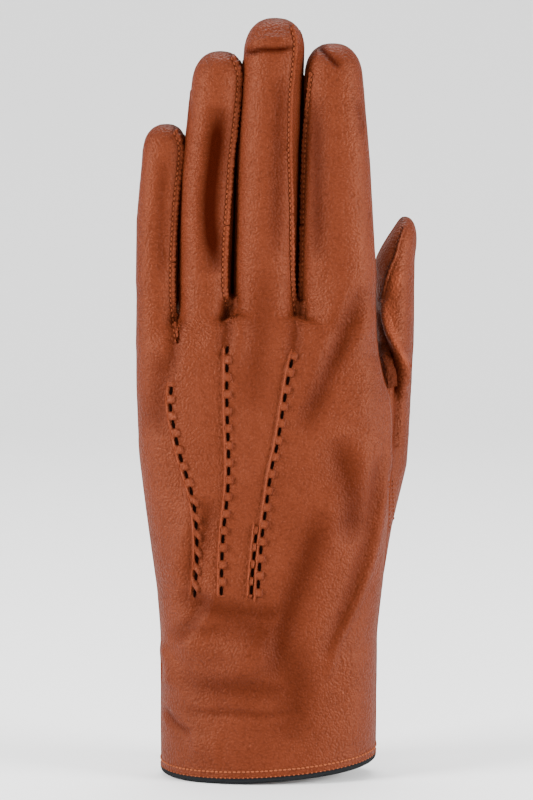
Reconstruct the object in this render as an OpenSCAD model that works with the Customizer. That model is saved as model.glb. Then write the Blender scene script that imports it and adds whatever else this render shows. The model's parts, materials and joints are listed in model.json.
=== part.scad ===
// A man's lined leather dress glove for the left hand, upright on its wrist opening.
// +Z runs up the fingers, the back of the hand faces -Y, the palm faces +Y and the thumb lies at +X.
// The origin is the centre of the wrist opening.

/* [Cuff] */
// Width of the wrist opening
cuff_w = 72; // [70:0.5:74]
// Depth of the wrist opening, from back to palm
cuff_d = 46; // [40:1:50]
// Height of the hem turned inside the cuff
hem_h = 13; // [10:1:16]
// How far the black binding shows below the leather
binding_show = 1.3; // [0.8:0.1:2]
// Height of the wrist fold
wrist_z = 42; // [38:1:46]

/* [Hand] */
// Width of the glove below the fingers
hand_w = 81; // [80:0.25:82]
// Thickness of the hand at its middle
hand_d = 33; // [30:1:36]
// Height of the webs between the fingers
web_z = 149; // [147:1:151]

/* [Leather] */
// Thickness of the outer leather
leather_t = 1; // [0.8:0.1:1.2]
// Thickness of the inner lining
lining_t = 0.7; // [0.5:0.1:0.9]
// Gap left between two pieces that bend past each other
fold_gap = 0.6; // [0.4:0.1:1]
// Width of a raised point on the back of the hand
point_w = 2.2; // [1.6:0.2:2.8]
// Height of a raised point
point_h = 1.1; // [0.8:0.1:1.4]

/* [Bending] */
// Bend of each knuckle
knuckle_deg = 80; // [40:5:85]
// Bend of each middle finger joint
middle_deg = 92; // [40:1:95]
// Bend of the thumb where it leaves the hand
thumb_deg = 35; // [20:5:40]
// Bend of the thumb's upper joint
thumb_tip_deg = 56; // [30:2:60]
// Bend of the wrist to each side
wrist_deg = 30; // [10:5:35]

/* [Hidden] */
LEATHER = [0.58, 0.28, 0.17];
SUEDE = [0.45, 0.23, 0.15];
KNIT = [0.36, 0.2, 0.13];
THREAD = [0.72, 0.4, 0.26];
DARK = [0.1, 0.07, 0.06];

PARTS = ["lower", "upper"];
seam_gap = 0.06;      // between pieces that are sewn edge to edge
lining_d = leather_t + 0.15; // depth of the lining under the leather's outside
wedge_spare = 2;      // degrees of room left at the end of a fold
slit_half = 1.2;      // half angle of the closed slit over a fingertip
seam_w = 1.6;         // width and height of a finger's raised seam
seam_h = 0.5;
lip_gap = 0.12;       // between a raised strip and the leather it is sewn to
hem_t = 0.9;          // thickness of the leather turned inside the hem
hem_slope_x = 0.06;   // the hem is cut higher towards the thumb
hem_slope_y = 0.13;   // and lower on the back of the hand
stitch_z = 2.1;       // height of the hem's stitches above its edge
thread_r = 0.35;      // half the thickness of a thread
thread_gap = 0.03;    // between the hem's leather and its thread or binding
binding_d = 0.1;      // how far the binding stands in from the leather's outside
label_z = 20;         // the blank label's height above the opening, its size and its half angle
label_h = 12;
label_deg = 14;
label_t = 0.4;
label_gap = 0.1;      // between the label and the lining

function turn_of(width, radius) = width / radius * 180 / PI;

// ---- Fingers. ACROSS is the centre's x, HALF the half width and DEEP the half depth, each at the
//      knuckle fold, the middle fold and the tip, and FOLDS holds those three heights.
//      SIDES is where the fourchettes are: 0 towards the thumb, 180 away from it.
NAME = 0;
ACROSS = 1;
HALF = 2;
DEEP = 3;
FOLDS = 4;
SIDES = 5;
FINGERS = [
    ["index", [22.4, 22.3, 21.3], [12.5, 11, 9.1], [10, 9.4, 8.4], [164, 201, 242.8], [180]],
    ["middle", [-1.5, -0.7, 1.5], [10.5, 10.2, 9.4], [10.2, 9.6, 8.8], [166, 206, 251.3], [0, 180]],
    ["ring", [-21.9, -21.2, -17.6], [9.1, 8.8, 7.9], [9.2, 8.8, 8], [165, 199, 240.3], [0, 180]],
    ["little", [-38.4, -38.1, -35.9], [6.5, 6.4, 6], [7.6, 7.2, 6.6], [157, 184, 216], [0]]];
finger_curl = 4;           // how far a fingertip leans to the palm at rest
gusset_deg = [40, 34, 1.5]; // half angle of a fourchette at the knuckle, the middle fold and the tip
finger_steps = 20;
lining_steps = 12;
finger_r = 10;             // the radii at which the seams of the fingers and the thumb are measured
thumb_r = 8;

function at(f, column, z) =
    lookup(z, [for (k = [0:2]) [f[FOLDS][k], f[column][k]]]);
function cap_z(f) = f[FOLDS][2] - cap(f);
function cap(f) = f[HALF][2] * 1.15;
function lean(f, z) = finger_curl * pow(max(0, z - f[FOLDS][0]) / (f[FOLDS][2] - f[FOLDS][0]), 2);
// A point of a finger's skin: past cap_z the height runs over the rounded tip
function finger_at(f, h, a, depth) =
    let (over = max(0, h - cap_z(f)) / cap(f), r = sqrt(max(0, 1 - over * over)),
         z = min(h, cap_z(f)) + (cap(f) - depth) * over)
    [at(f, ACROSS, h) + (at(f, HALF, h) - depth) * r * cos(a),
     lean(f, h) + (at(f, DEEP, h) - depth) * r * sin(a), z];
function gusset_half(f, h) = h > cap_z(f) + 0.1 ? 0 :
    lookup(h, [[f[FOLDS][0], gusset_deg[0]], [f[FOLDS][1], gusset_deg[1]], [cap_z(f), gusset_deg[2]]]);

// ---- Hand and cuff: the outline's left and right edges and the half depth at each height
spread = hand_w / 81;
LEFT_EDGE = [[-4, -cuff_w / 2 - 0.6], [44, -cuff_w / 2 - 0.8], [60, -37.9 * spread], [80, -40.6 * spread],
             [105, -43.7 * spread], [130, -44.5 * spread], [158, -45 * spread]];
RIGHT_EDGE = [[-4, cuff_w / 2 - 0.6], [44, cuff_w / 2 - 0.3], [80, 36.3], [150, 35.6], [158, 35]];
HALF_DEPTH = [[-4, cuff_d / 2], [44, cuff_d / 2 - 1.5], [60, hand_d / 2 + 3], [80, hand_d / 2 + 1.5],
              [130, hand_d / 2], [web_z - 6, hand_d / 2 - 4], [web_z, hand_d / 2 - 8]];
palm_steps = 36;
hand_lining_steps = 24;
root_h = 12;               // how far the root of a finger reaches down into the hand
cut_over = 4;              // how far the hollow inside the hand runs past its open ends
palm_rows = [wrist_z - 2, 60, 80, 105, 130, web_z - 6, web_z];
function palm_mid(z) = (lookup(z, LEFT_EDGE) + lookup(z, RIGHT_EDGE)) / 2;
function palm_half(z) = (lookup(z, RIGHT_EDGE) - lookup(z, LEFT_EDGE)) / 2;
palm_at = function (z, a, depth)
    [palm_mid(z) + (palm_half(z) - depth) * cos(a), (lookup(z, HALF_DEPTH) - depth) * sin(a), z];
function hem_z(a) = let (p = palm_at(0, a, 0)) hem_slope_x * p[0] + hem_slope_y * p[1];

// ---- Thumb: centre x and y, half width and half depth at each height
THUMB_X = [[56, 26], [80, 27.5], [100, 31.4], [116, 35.2],
           [128, 40.8], [140, 41.5], [170, 42.1], [185, 43.4]];
THUMB_Y = [[56, 4], [80, 9], [100, 15], [116, 20], [151, 27], [185, 33]];
THUMB_HALF = [[56, 10], [80, 12.5], [100, 13.2], [116, 11], [128, 6.4], [172, 6]];
THUMB_DEEP = [[56, 9], [80, 11], [100, 12], [116, 11.4], [151, 11], [172, 9.6]];
thumb_fold = 127;
thumb_middle = 151;
thumb_tip = 185;
thumb_cap = 12;
thumb_gusset_side = 215;
thumb_seam_side = 262;
thumb_rows = [54, 68, 80, 90, 100, 116, thumb_fold];
function thumb_gusset_half(h) = lookup(h, [[thumb_fold, 26], [thumb_middle - 4, 1]]);
thumb_at = function (h, a, depth)
    let (over = max(0, h - (thumb_tip - thumb_cap)) / thumb_cap, r = sqrt(max(0, 1 - over * over)),
         z = min(h, thumb_tip - thumb_cap) + (thumb_cap - depth) * over)
    [lookup(h, THUMB_X) + (lookup(h, THUMB_HALF) - depth) * r * cos(a),
     lookup(h, THUMB_Y) + (lookup(h, THUMB_DEEP) - depth) * r * sin(a), z];

// ---- Folds: how far an end stands back from a fold at angle a, so that the bend has room on the palm side
function set_back(y, deg) = fold_gap / 2 + max(0, y) * tan(deg / 2 + wedge_spare);
function finger_end(f, k, a) =
    let (z = f[FOLDS][k], deg = k == 0 ? knuckle_deg : middle_deg)
    set_back(at(f, DEEP, z) * sin(a), deg);
function thumb_end(z, a) =
    set_back(lookup(z, THUMB_DEEP) * sin(a), z == thumb_fold ? thumb_deg : thumb_tip_deg);
function wrist_end(a) = set_back(abs(palm_at(wrist_z, a, 0)[1]), wrist_deg);

// ---- Shapes
// A patch of wall between two depths under a skin, as one closed solid. rows are fractions of
// the height from low(a) to high(a), from(h) and to(h) are its side edges, and a ring goes all
// the way round. A poled wall closes over the top.
module wall(skin, rows, low, high, from, to, steps, outer, inner, ring = false, poled = false) {
    n = ring ? steps : steps + 1;
    m = len(rows);
    last = ring ? n - 1 : n - 2;
    function height(a, i) = low(a) + (high(a) - low(a)) * rows[i];
    function angle(h, j) = from(h) + (to(h) - from(h)) * j / steps;
    function spot(i, j, depth) =
        let (a = angle(height(angle(low(0), j), i), j))
        skin(height(a, i), a, depth);
    function id(layer, i, j) = (layer * m + i) * n + (ring ? j % n : j);
    function quad(a, b, c, d) = [[a, b, c], [a, c, d]];
    function middle(depth) =
        let (row = [for (j = [0:n - 1]) spot(m - 1, j, depth)], one = [for (p = row) 1])
        [(one * row)[0] / n, (one * row)[1] / n, skin(high(0), 0, depth)[2]];
    points = [for (depth = [outer, inner], i = [0:m - 1], j = [0:n - 1]) spot(i, j, depth)];
    skins = [for (i = [0:m - 2], j = [0:last]) each concat(
        quad(id(0, i, j), id(0, i + 1, j), id(0, i + 1, j + 1), id(0, i, j + 1)),
        quad(id(1, i, j), id(1, i, j + 1), id(1, i + 1, j + 1), id(1, i + 1, j)))];
    foot = [for (j = [0:last]) each quad(id(0, 0, j), id(0, 0, j + 1), id(1, 0, j + 1), id(1, 0, j))];
    edges = ring ? [] : [for (i = [0:m - 2]) each concat(
        quad(id(0, i, 0), id(1, i, 0), id(1, i + 1, 0), id(0, i + 1, 0)),
        quad(id(0, i, n - 1), id(0, i + 1, n - 1), id(1, i + 1, n - 1), id(1, i, n - 1)))];
    if (poled) {
        tip = 2 * m * n;
        fans = [for (j = [0:last]) each [
            [id(0, m - 1, j), tip, id(0, m - 1, j + 1)], [id(1, m - 1, j), id(1, m - 1, j + 1), tip + 1]]];
        ends = ring ? [] : concat(
            quad(id(0, m - 1, 0), id(1, m - 1, 0), tip + 1, tip),
            quad(id(0, m - 1, n - 1), tip, tip + 1, id(1, m - 1, n - 1)));
        polyhedron(concat(points, [middle(outer), middle(inner)]), concat(skins, foot, edges, fans, ends));
    } else {
        head = [for (j = [0:last]) each
            quad(id(0, m - 1, j), id(1, m - 1, j), id(1, m - 1, j + 1), id(0, m - 1, j + 1))];
        polyhedron(points, concat(skins, foot, head, edges));
    }
}

// A closed block inside a skin, from its lowest height to high(a)
module block(skin, heights, high, steps, depth) {
    m = len(heights);
    top = function (a, i) i < m - 1 ? heights[i] : high(a);
    points = [for (i = [0:m - 1], j = [0:steps - 1]) let (a = 360 * j / steps) skin(top(a, i), a, depth)];
    ends = [for (i = [0, m - 1]) (skin(top(0, i), 0, depth) + skin(top(0, i), 180, depth)) / 2];
    sides = [for (i = [0:m - 2], j = [0:steps - 1])
        let (k = (j + 1) % steps, row = i * steps, next = row + steps)
        each [[row + j, next + j, next + k], [row + j, next + k, row + k]]];
    caps = [for (j = [0:steps - 1])
        let (k = (j + 1) % steps, over = (m - 1) * steps)
        each [[m * steps, j, k], [m * steps + 1, over + k, over + j]]];
    polyhedron(concat(points, ends), concat(sides, caps));
}

// ---- Fingers
dome_rows = [0, sin(28), sin(52), sin(72), sin(85)];
function upper_rows(f) =
    let (low = f[FOLDS][1], span = f[FOLDS][2] - low)
    concat([0, (cap_z(f) - low) / span / 2], [for (s = dome_rows) (cap_z(f) - low + cap(f) * s) / span]);
lower_rows = [0, 0.5, 1];

module finger_wall(f, k, from, to, steps, outer, inner, ring = false, poled = true) {
    upper = k == 1;
    wall(function (h, a, depth) finger_at(f, h, a, depth),
         upper ? (poled ? upper_rows(f) : lower_rows) : lower_rows,
         function (a) f[FOLDS][k] + finger_end(f, k, a),
         function (a) upper ? (poled ? f[FOLDS][2] : cap_z(f)) : f[FOLDS][1] - finger_end(f, 1, a),
         from, to, steps, outer, inner, ring, upper && poled);
}

// The leather strips of one finger part: one that runs right round from a lone fourchette, or a back
// strip and a palm strip between two fourchettes
module finger_leather(f, k) {
    strips = len(f[SIDES]) == 2 ? [[0, 180], [180, 360]] : [[f[SIDES][0], f[SIDES][0] + 360]];
    color(LEATHER)
    for (s = strips)
        finger_wall(f, k, function (h) s[0] + gusset_half(f, h) + slit_half,
                    function (h) s[1] - gusset_half(f, h) - slit_half,
                    len(strips) == 2 ? finger_steps / 2 : finger_steps, 0, leather_t);
}

module fourchette(f, k, side) {
    color(SUEDE)
    finger_wall(f, k, function (h) side - gusset_half(f, h), function (h) side + gusset_half(f, h),
                4, 0, leather_t, poled = false);
}

// The raised, stitched seam that shows along the back edge of a fourchette
module finger_seam(f, k) {
    side = f[SIDES][0];
    back = side == 0 ? -1 : 1;
    width = turn_of(seam_w, finger_r);
    function start(h) = side + back * (gusset_half(f, h) + (back < 0 ? width : 0));
    color(THREAD)
    finger_wall(f, k, function (h) start(h), function (h) start(h) + width,
                1, -seam_h, -lip_gap, poled = false);
}

module finger_lining(f, k) {
    color(KNIT)
    finger_wall(f, k, function (h) 0, function (h) 360,
                lining_steps, lining_d, lining_d + lining_t, ring = true);
}

// ---- Thumb
thumb_upper_rows = concat([0, 0.35], [for (s = dome_rows)
    (thumb_tip - thumb_cap - thumb_middle + thumb_cap * s) / (thumb_tip - thumb_middle)]);

module thumb_wall(k, from, to, steps, outer, inner, ring = false) {
    fold = k == 0 ? thumb_fold : thumb_middle;
    wall(thumb_at, k == 0 ? [0, 0.25, 0.5, 1] : thumb_upper_rows,
         function (a) fold + thumb_end(fold, a),
         function (a) k == 0 ? thumb_middle - thumb_end(thumb_middle, a) : thumb_tip,
         from, to, steps, outer, inner, ring, k == 1);
}

module thumb_leather(k) {
    function half(h) = k == 0 ? thumb_gusset_half(h) : 0;
    color(LEATHER)
    thumb_wall(k, function (h) thumb_gusset_side + half(h) + slit_half,
               function (h) thumb_gusset_side + 360 - half(h) - slit_half, finger_steps, 0, leather_t);
}

module thumb_gusset() {
    color(SUEDE)
    thumb_wall(0, function (h) thumb_gusset_side - thumb_gusset_half(h),
               function (h) thumb_gusset_side + thumb_gusset_half(h), 3, 0, leather_t);
}

module thumb_lining(k) {
    color(KNIT)
    thumb_wall(k, function (h) 0, function (h) 360,
               lining_steps, lining_d, lining_d + lining_t, ring = true);
}

module thumb_seam() {
    width = turn_of(seam_w, thumb_r);
    color(THREAD)
    wall(thumb_at, [0, 0.5, 1],
         function (a) thumb_middle + thumb_end(thumb_middle, a), function (a) thumb_tip - thumb_cap,
         function (h) thumb_seam_side, function (h) thumb_seam_side + width, 1, -seam_h, -lip_gap);
}

// ---- Hand
// One layer of the hand between two depths: palm, ball of the thumb and the roots of the fingers
module hand_layer(outer, inner, steps) {
    difference() {
        hand_form(outer, 0, steps);
        hand_form(inner, cut_over, steps);
        rotate([90, 0, 90])
            linear_extrude(2 * hand_w, center = true)
                polygon(concat([for (y = [-hand_w, 0, hand_w]) [y, wrist_z + set_back(abs(y), wrist_deg)]],
                               [[hand_w, -hand_w], [-hand_w, -hand_w]]));
    }
}

// The hand's solid form. over lengthens the roots of the fingers and the ball of the thumb, for cutting.
module hand_form(depth, over, steps) {
    block(palm_at, [for (z = palm_rows) z - (z == web_z ? depth : 0)],
          function (a) web_z - depth, steps, depth);
    block(thumb_at, [for (z = thumb_rows) z + (z == thumb_rows[0] ? depth : 0)],
          function (a) thumb_fold + over - (over > 0 ? 0 : thumb_end(thumb_fold, a)), finger_steps, depth);
    for (f = FINGERS)
        block(function (h, a, d) finger_at(f, h, a, d), [web_z - root_h, f[FOLDS][0]],
              function (a) f[FOLDS][0] + over - (over > 0 ? 0 : finger_end(f, 0, a)), finger_steps, depth);
}

module hand_leather() {
    color(LEATHER) hand_layer(0, leather_t, palm_steps);
}

module hand_lining() {
    color(KNIT) hand_layer(lining_d, lining_d + lining_t, hand_lining_steps);
}

// The three raised points on the back: x of each at some of its heights
POINTS = [
    ["little_point", [[58, -25.3], [70, -24.3], [84, -24.7], [98, -27.8], [114, -32.2], [128, -32.7]]],
    ["middle_point", [[58, -16.3], [76, -16], [90, -14.3], [110, -14], [140, -14.3]]],
    ["index_point", [[56, -4.3], [79, -3], [100, 0.3], [120, 4.3], [138, 7.8]]]];
dash_pitch = 5.7;
dash_len = 2.6;
dash_w = 0.7;
first_dash = 1;
point_row = 2;
function back_angle(z, x) = -acos((x - palm_mid(z)) / palm_half(z));

module point_strip(path, low, high, width, outer, inner, rows) {
    wall(palm_at, rows, function (a) low, function (a) high,
         function (h) back_angle(h, lookup(h, path) - width / 2),
         function (h) back_angle(h, lookup(h, path) + width / 2), 1, outer, inner);
}

module point_ridge(p) {
    low = p[1][0][0];
    high = p[1][len(p[1]) - 1][0];
    color(LEATHER) point_strip(p[1], low, high, point_w, -point_h, -lip_gap,
        [for (z = [low:point_row:high]) (z - low) / (high - low)]);
}

module point_stitches(p) {
    low = p[1][0][0];
    high = p[1][len(p[1]) - 1][0];
    color(DARK)
    for (z = [low + first_dash:dash_pitch:high - dash_len])
        point_strip(p[1], z, z + dash_len, dash_w, -point_h - thread_r, -point_h - seam_gap, [0, 1]);
}

// ---- Cuff: a ring of the cuff between two heights above the hem line and two depths
to_wrist = -1; // the height that stands for the wrist fold
module cuff_ring(low, high, outer, inner) {
    wall(palm_at, [0, 1], function (a) hem_z(a) + low,
         function (a) high != to_wrist ? hem_z(a) + high : wrist_z - wrist_end(a),
         function (h) 0, function (h) 360, palm_steps, outer, inner, ring = true);
}
module cuff_leather() {
    color(LEATHER) cuff_ring(0, to_wrist, 0, leather_t);
}

module cuff_hem() {
    color(SUEDE) cuff_ring(0, hem_h, leather_t + seam_gap, leather_t + seam_gap + hem_t);
}

module cuff_lining() {
    color(KNIT) cuff_ring(hem_h + seam_gap, to_wrist, lining_d, lining_d + lining_t);
}

module edge_binding() {
    color(DARK)
    wall(palm_at, [0, 1], function (a) hem_z(a) - binding_show, function (a) hem_z(a) - thread_gap,
         function (h) 0, function (h) 360, palm_steps, binding_d, leather_t + hem_t, ring = true);
}

module hem_stitching() {
    color(THREAD) cuff_ring(stitch_z - thread_r, stitch_z + thread_r, -thread_r, -thread_gap);
}

module size_label() {
    label_d = lining_d + lining_t + label_gap;
    color("ivory")
    wall(palm_at, [0, 1], function (a) label_z, function (a) label_z + label_h,
         function (h) 90 - label_deg, function (h) 90 + label_deg, 4, label_d, label_d + label_t);
}

function fourchette_name(f, side, part) =
    str(f[NAME], "_fourchette_", side == 0 ? "thumb_side_" : "outer_side_", part);

cuff_leather();
cuff_hem();
cuff_lining();
edge_binding();
hem_stitching();
size_label();
hand_leather();
hand_lining();
thumb_gusset();
thumb_seam();
for (p = POINTS) {
    point_ridge(p);
    point_stitches(p);
}
for (k = [0, 1]) {
    thumb_leather(k);
    thumb_lining(k);
    for (f = FINGERS) {
        finger_leather(f, k);
        finger_lining(f, k);
        finger_seam(f, k);
        for (side = f[SIDES])
            fourchette(f, k, side);
    }
}
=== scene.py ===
"""A lined leather dress glove for the left hand, standing on its wrist opening."""

import json
import logging
import math
from dataclasses import dataclass, field, replace
from enum import Enum
from typing import Callable, Iterable, Sequence

import bmesh
import bpy
import numpy as np
from mathutils import Matrix, Vector, noise
from mathutils.bvhtree import BVHTree


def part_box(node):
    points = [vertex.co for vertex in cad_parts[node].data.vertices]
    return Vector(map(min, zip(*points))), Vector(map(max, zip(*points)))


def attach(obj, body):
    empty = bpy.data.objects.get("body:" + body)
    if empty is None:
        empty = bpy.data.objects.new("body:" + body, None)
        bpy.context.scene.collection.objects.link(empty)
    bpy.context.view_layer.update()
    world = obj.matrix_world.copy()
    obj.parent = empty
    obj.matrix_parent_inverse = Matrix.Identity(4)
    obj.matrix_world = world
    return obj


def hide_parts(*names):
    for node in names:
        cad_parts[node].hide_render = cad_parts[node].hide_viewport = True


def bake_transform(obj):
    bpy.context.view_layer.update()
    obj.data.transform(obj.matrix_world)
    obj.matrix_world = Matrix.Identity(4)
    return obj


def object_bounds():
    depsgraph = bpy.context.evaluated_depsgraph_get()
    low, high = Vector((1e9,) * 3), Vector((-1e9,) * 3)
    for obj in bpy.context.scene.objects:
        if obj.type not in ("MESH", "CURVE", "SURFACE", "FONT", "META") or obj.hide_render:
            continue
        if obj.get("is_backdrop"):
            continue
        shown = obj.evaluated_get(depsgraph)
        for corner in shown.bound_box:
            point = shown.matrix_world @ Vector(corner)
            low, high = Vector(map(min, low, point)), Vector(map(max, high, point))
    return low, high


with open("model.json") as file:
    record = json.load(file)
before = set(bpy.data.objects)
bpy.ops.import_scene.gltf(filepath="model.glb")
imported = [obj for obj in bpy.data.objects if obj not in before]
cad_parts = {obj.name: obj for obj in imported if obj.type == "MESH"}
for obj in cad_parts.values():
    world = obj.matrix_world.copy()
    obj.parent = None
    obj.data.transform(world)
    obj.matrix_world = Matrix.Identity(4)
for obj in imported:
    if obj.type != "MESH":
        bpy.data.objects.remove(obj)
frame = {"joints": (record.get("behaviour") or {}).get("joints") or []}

logging.basicConfig(level=logging.INFO, format="%(message)s")
log = logging.getLogger("glove")

MM = 0.001
Array = np.ndarray
Path = Sequence[tuple[float, float]]
Place = Callable[[Array, Array], Array]
Stitch = tuple[Vector, Vector, Vector, tuple[float, float, float]]
FOLD_AT = {j["name"]: j["pos_m"][2] / MM for j in frame["joints"]}
LEATHER = 0.9
LIP = 0.3
CREASE = math.radians(62)


# ---- Small sums


def ease(t: Array | float) -> Array:
    """Smooth step of t, held between 0 and 1."""
    t = np.clip(t, 0.0, 1.0)
    return t * t * (3 - 2 * t)


def look(z: Array | float, table: Path) -> Array:
    """The value at height z in a table of (height, value) pairs."""
    return np.interp(z, [row[0] for row in table], [row[1] for row in table])


def drawn(path: Path, step: float) -> Array:
    """Points at an even step along a smoothed path.

    Args:
        path: corner points (x, z), in millimetres.
        step: distance between the points returned.

    Returns:
        An array of (x, z) points.
    """
    points = np.array(path, float)
    for _ in range(3):
        middle = np.empty((2 * len(points) - 2, 2))
        middle[0::2] = points[:-1] * 0.75 + points[1:] * 0.25
        middle[1::2] = points[:-1] * 0.25 + points[1:] * 0.75
        points = np.vstack([points[:1], middle, points[-1:]])
    run = np.concatenate([[0], np.cumsum(np.linalg.norm(np.diff(points, axis=0), axis=1))])
    count = max(2, int(round(run[-1] / step)) + 1)
    at = np.linspace(0, run[-1], count)
    return np.column_stack([np.interp(at, run, points[:, k]) for k in (0, 1)])


def away(x: Array, z: Array, path: Path) -> tuple[Array, Array, Array]:
    """Distance from points to a path.

    Args:
        x: the points' x.
        z: the points' z.
        path: corner points of the path.

    Returns:
        The distance, how far along the path the nearest spot is from 0 to 1, and the signed side.
    """
    points = drawn(path, 2.0)
    lengths = np.linalg.norm(np.diff(points, axis=0), axis=1)
    total = lengths.sum()
    near = np.full(len(x), 1e9)
    along = np.zeros(len(x))
    side = np.ones(len(x))
    run = 0.0
    for a, b, size in zip(points[:-1], points[1:], lengths):
        d = (b - a) / size
        t = np.clip((x - a[0]) * d[0] + (z - a[1]) * d[1], 0, size)
        dx, dz = x - a[0] - t * d[0], z - a[1] - t * d[1]
        gap = np.hypot(dx, dz)
        closer = gap < near
        near = np.where(closer, gap, near)
        along = np.where(closer, (run + t) / total, along)
        side = np.where(closer, np.sign(dx * d[1] - dz * d[0] + 1e-9), side)
        run += size
    return near, along, side


def rough(points: Array, size: float, stretch: tuple[float, float, float] = (1, 1, 1),
          seed: float = 0) -> Array:
    """Smooth noise from about -1 to 1 at each point.

    Args:
        points: positions in millimetres.
        size: the size of one lump.
        stretch: how much longer a lump is along each axis.
        seed: shifts the pattern.

    Returns:
        One value a point.
    """
    scaled = points / (np.array(stretch) * size) + seed
    return np.array([noise.noise(Vector(p)) for p in scaled])


# ---- Mesh work


def as_object(bm: bmesh.types.BMesh, name: str) -> bpy.types.Object:
    """Closes a mesh and puts it in the scene as an object.

    Args:
        bm: the open mesh.
        name: its name.

    Returns:
        The object.
    """
    mesh = bpy.data.meshes.new(name)
    bm.to_mesh(mesh)
    bm.free()
    piece = bpy.data.objects.new(name, mesh)
    bpy.context.scene.collection.objects.link(piece)
    return piece


def spots_of(piece: bpy.types.Object) -> Array:
    """The piece's corner positions.

    Args:
        piece: the piece.

    Returns:
        One row a corner.
    """
    spots = np.zeros(len(piece.data.vertices) * 3)
    piece.data.vertices.foreach_get("co", spots)
    return spots.reshape(-1, 3)


def put(piece: bpy.types.Object, spots: Array) -> None:
    """Moves the piece's corners to new positions."""
    piece.data.vertices.foreach_set("co", spots.ravel())


def sheet(name: str, across: int, along: int, place: Place, wrap: bool = False) -> bpy.types.Object:
    """A surface made from a grid whose corners are put in place.

    Args:
        name: the piece's name.
        across: cells across the grid.
        along: cells along the grid.
        place: gives the positions of points at u across and v along, each from 0 to 1.
        wrap: whether its edges meet, so that they are sewn together.

    Returns:
        The object, in millimetres.
    """
    bm = bmesh.new()
    bmesh.ops.create_grid(bm, x_segments=across, y_segments=along, size=0.5)
    piece = as_object(bm, name)
    spots = spots_of(piece)
    put(piece, place(spots[:, 0] + 0.5, spots[:, 1] + 0.5))
    if wrap:
        with_mesh(piece, sew_shut)
    return piece


def with_mesh(piece: bpy.types.Object, work: Callable[[bmesh.types.BMesh], None]) -> None:
    """Opens the piece's mesh for one step of work, and writes it back.

    Args:
        piece: the piece.
        work: the step, which takes the open mesh.
    """
    bm = bmesh.new()
    bm.from_mesh(piece.data)
    work(bm)
    bm.to_mesh(piece.data)
    bm.free()


def sew_shut(bm: bmesh.types.BMesh) -> None:
    """Joins edges that lie on each other and turns the faces outwards.

    Args:
        bm: the open mesh.
    """
    bmesh.ops.remove_doubles(bm, verts=bm.verts, dist=1e-3)
    bmesh.ops.dissolve_degenerate(bm, edges=bm.edges, dist=1e-4)
    bmesh.ops.recalc_face_normals(bm, faces=bm.faces)


def baked(piece: bpy.types.Object) -> bpy.types.Object:
    """Puts the piece's modifiers into its mesh.

    Args:
        piece: the piece.

    Returns:
        The same piece.
    """
    deps = bpy.context.evaluated_depsgraph_get()
    mesh = bpy.data.meshes.new_from_object(piece.evaluated_get(deps))
    piece.modifiers.clear()
    piece.data = mesh
    return piece


def thicken(piece: bpy.types.Object, thickness: float) -> None:
    """Gives a sheet its thickness, inwards from its outer face, with a crisp rim.

    Args:
        piece: the piece.
        thickness: the wall, in millimetres.
    """
    wall = piece.modifiers.new("thickness", "SOLIDIFY")
    wall.thickness = thickness
    wall.offset = -1
    wall.use_rim = True
    baked(piece)


def corners(piece: bpy.types.Object) -> tuple[Array, Array]:
    """The piece's corner positions and their normals.

    Args:
        piece: the piece.

    Returns:
        Positions and normals, one row a corner.
    """
    normals = np.zeros(len(piece.data.vertices) * 3)
    piece.data.vertex_normals.foreach_get("vector", normals)
    return spots_of(piece), normals.reshape(-1, 3)


def mark(piece: bpy.types.Object, name: str, values: Array) -> None:
    """Stores one number at each corner, for the piece's finish to read."""
    layer = piece.data.attributes.get(name) or piece.data.attributes.new(name, "FLOAT", "POINT")
    layer.data.foreach_set("value", np.asarray(values, np.float32))


def bead(bm: bmesh.types.BMesh, at: Vector, along: Vector, up: Vector,
         size: tuple[float, float, float]) -> None:
    """Adds one short rounded stitch.

    Args:
        bm: the mesh that takes it.
        at: its centre.
        along: the direction of the thread.
        up: the direction away from the leather.
        size: its length, width and height.
    """
    along = along.normalized()
    side = up.cross(along).normalized()
    top = along.cross(side)
    turn = Matrix((along * size[0], side * size[1], top * size[2])).transposed().to_4x4()
    bmesh.ops.create_uvsphere(bm, u_segments=8, v_segments=5, radius=0.5,
                              matrix=Matrix.Translation(at) @ turn)


def beads(name: str, rows: Iterable[Stitch]) -> bpy.types.Object:
    """A row of stitches as one piece.

    Args:
        name: the piece's name.
        rows: position, direction, outward direction and size of each stitch.

    Returns:
        The object, in millimetres.
    """
    bm = bmesh.new()
    for at, along, up, size in rows:
        bead(bm, at, along, up, size)
    return as_object(bm, name)


# ---- Finishes


class Nodes:
    """Adds shader nodes to one tree."""

    def __init__(self, tree: bpy.types.NodeTree) -> None:
        """Keeps the tree."""
        self.tree = tree

    def add(self, kind: str, inputs: dict | None = None, **settings: object) -> bpy.types.Node:
        """Adds a node.

        Args:
            kind: the node's type, without its prefix.
            inputs: values or sockets for its inputs, by name or place.
            settings: its other settings.

        Returns:
            The node.
        """
        node = self.tree.nodes.new("ShaderNode" + kind)
        for key, value in settings.items():
            setattr(node, key, value)
        for key, value in (inputs or {}).items():
            if isinstance(value, bpy.types.NodeSocket):
                self.tree.links.new(value, node.inputs[key])
            else:
                node.inputs[key].default_value = value
        return node

    def sum(self, operation: str, *values: object) -> bpy.types.NodeSocket:
        """A sum on two or three values."""
        return self.add("Math", dict(enumerate(values)), operation=operation).outputs[0]

    def blend(self, amount: object, first: object, second: object) -> bpy.types.NodeSocket:
        """A mix of two colours."""
        node = self.add("Mix", {0: amount, 6: first, 7: second}, data_type="RGBA")
        return node.outputs[2]

    def spread(self, value: object, low: float, high: float, to_low: float = 0, to_high: float = 1) -> object:
        """A value moved from one range to another, held at its ends."""
        return self.add("MapRange", {0: value, 1: low, 2: high, 3: to_low, 4: to_high}).outputs[0]


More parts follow.
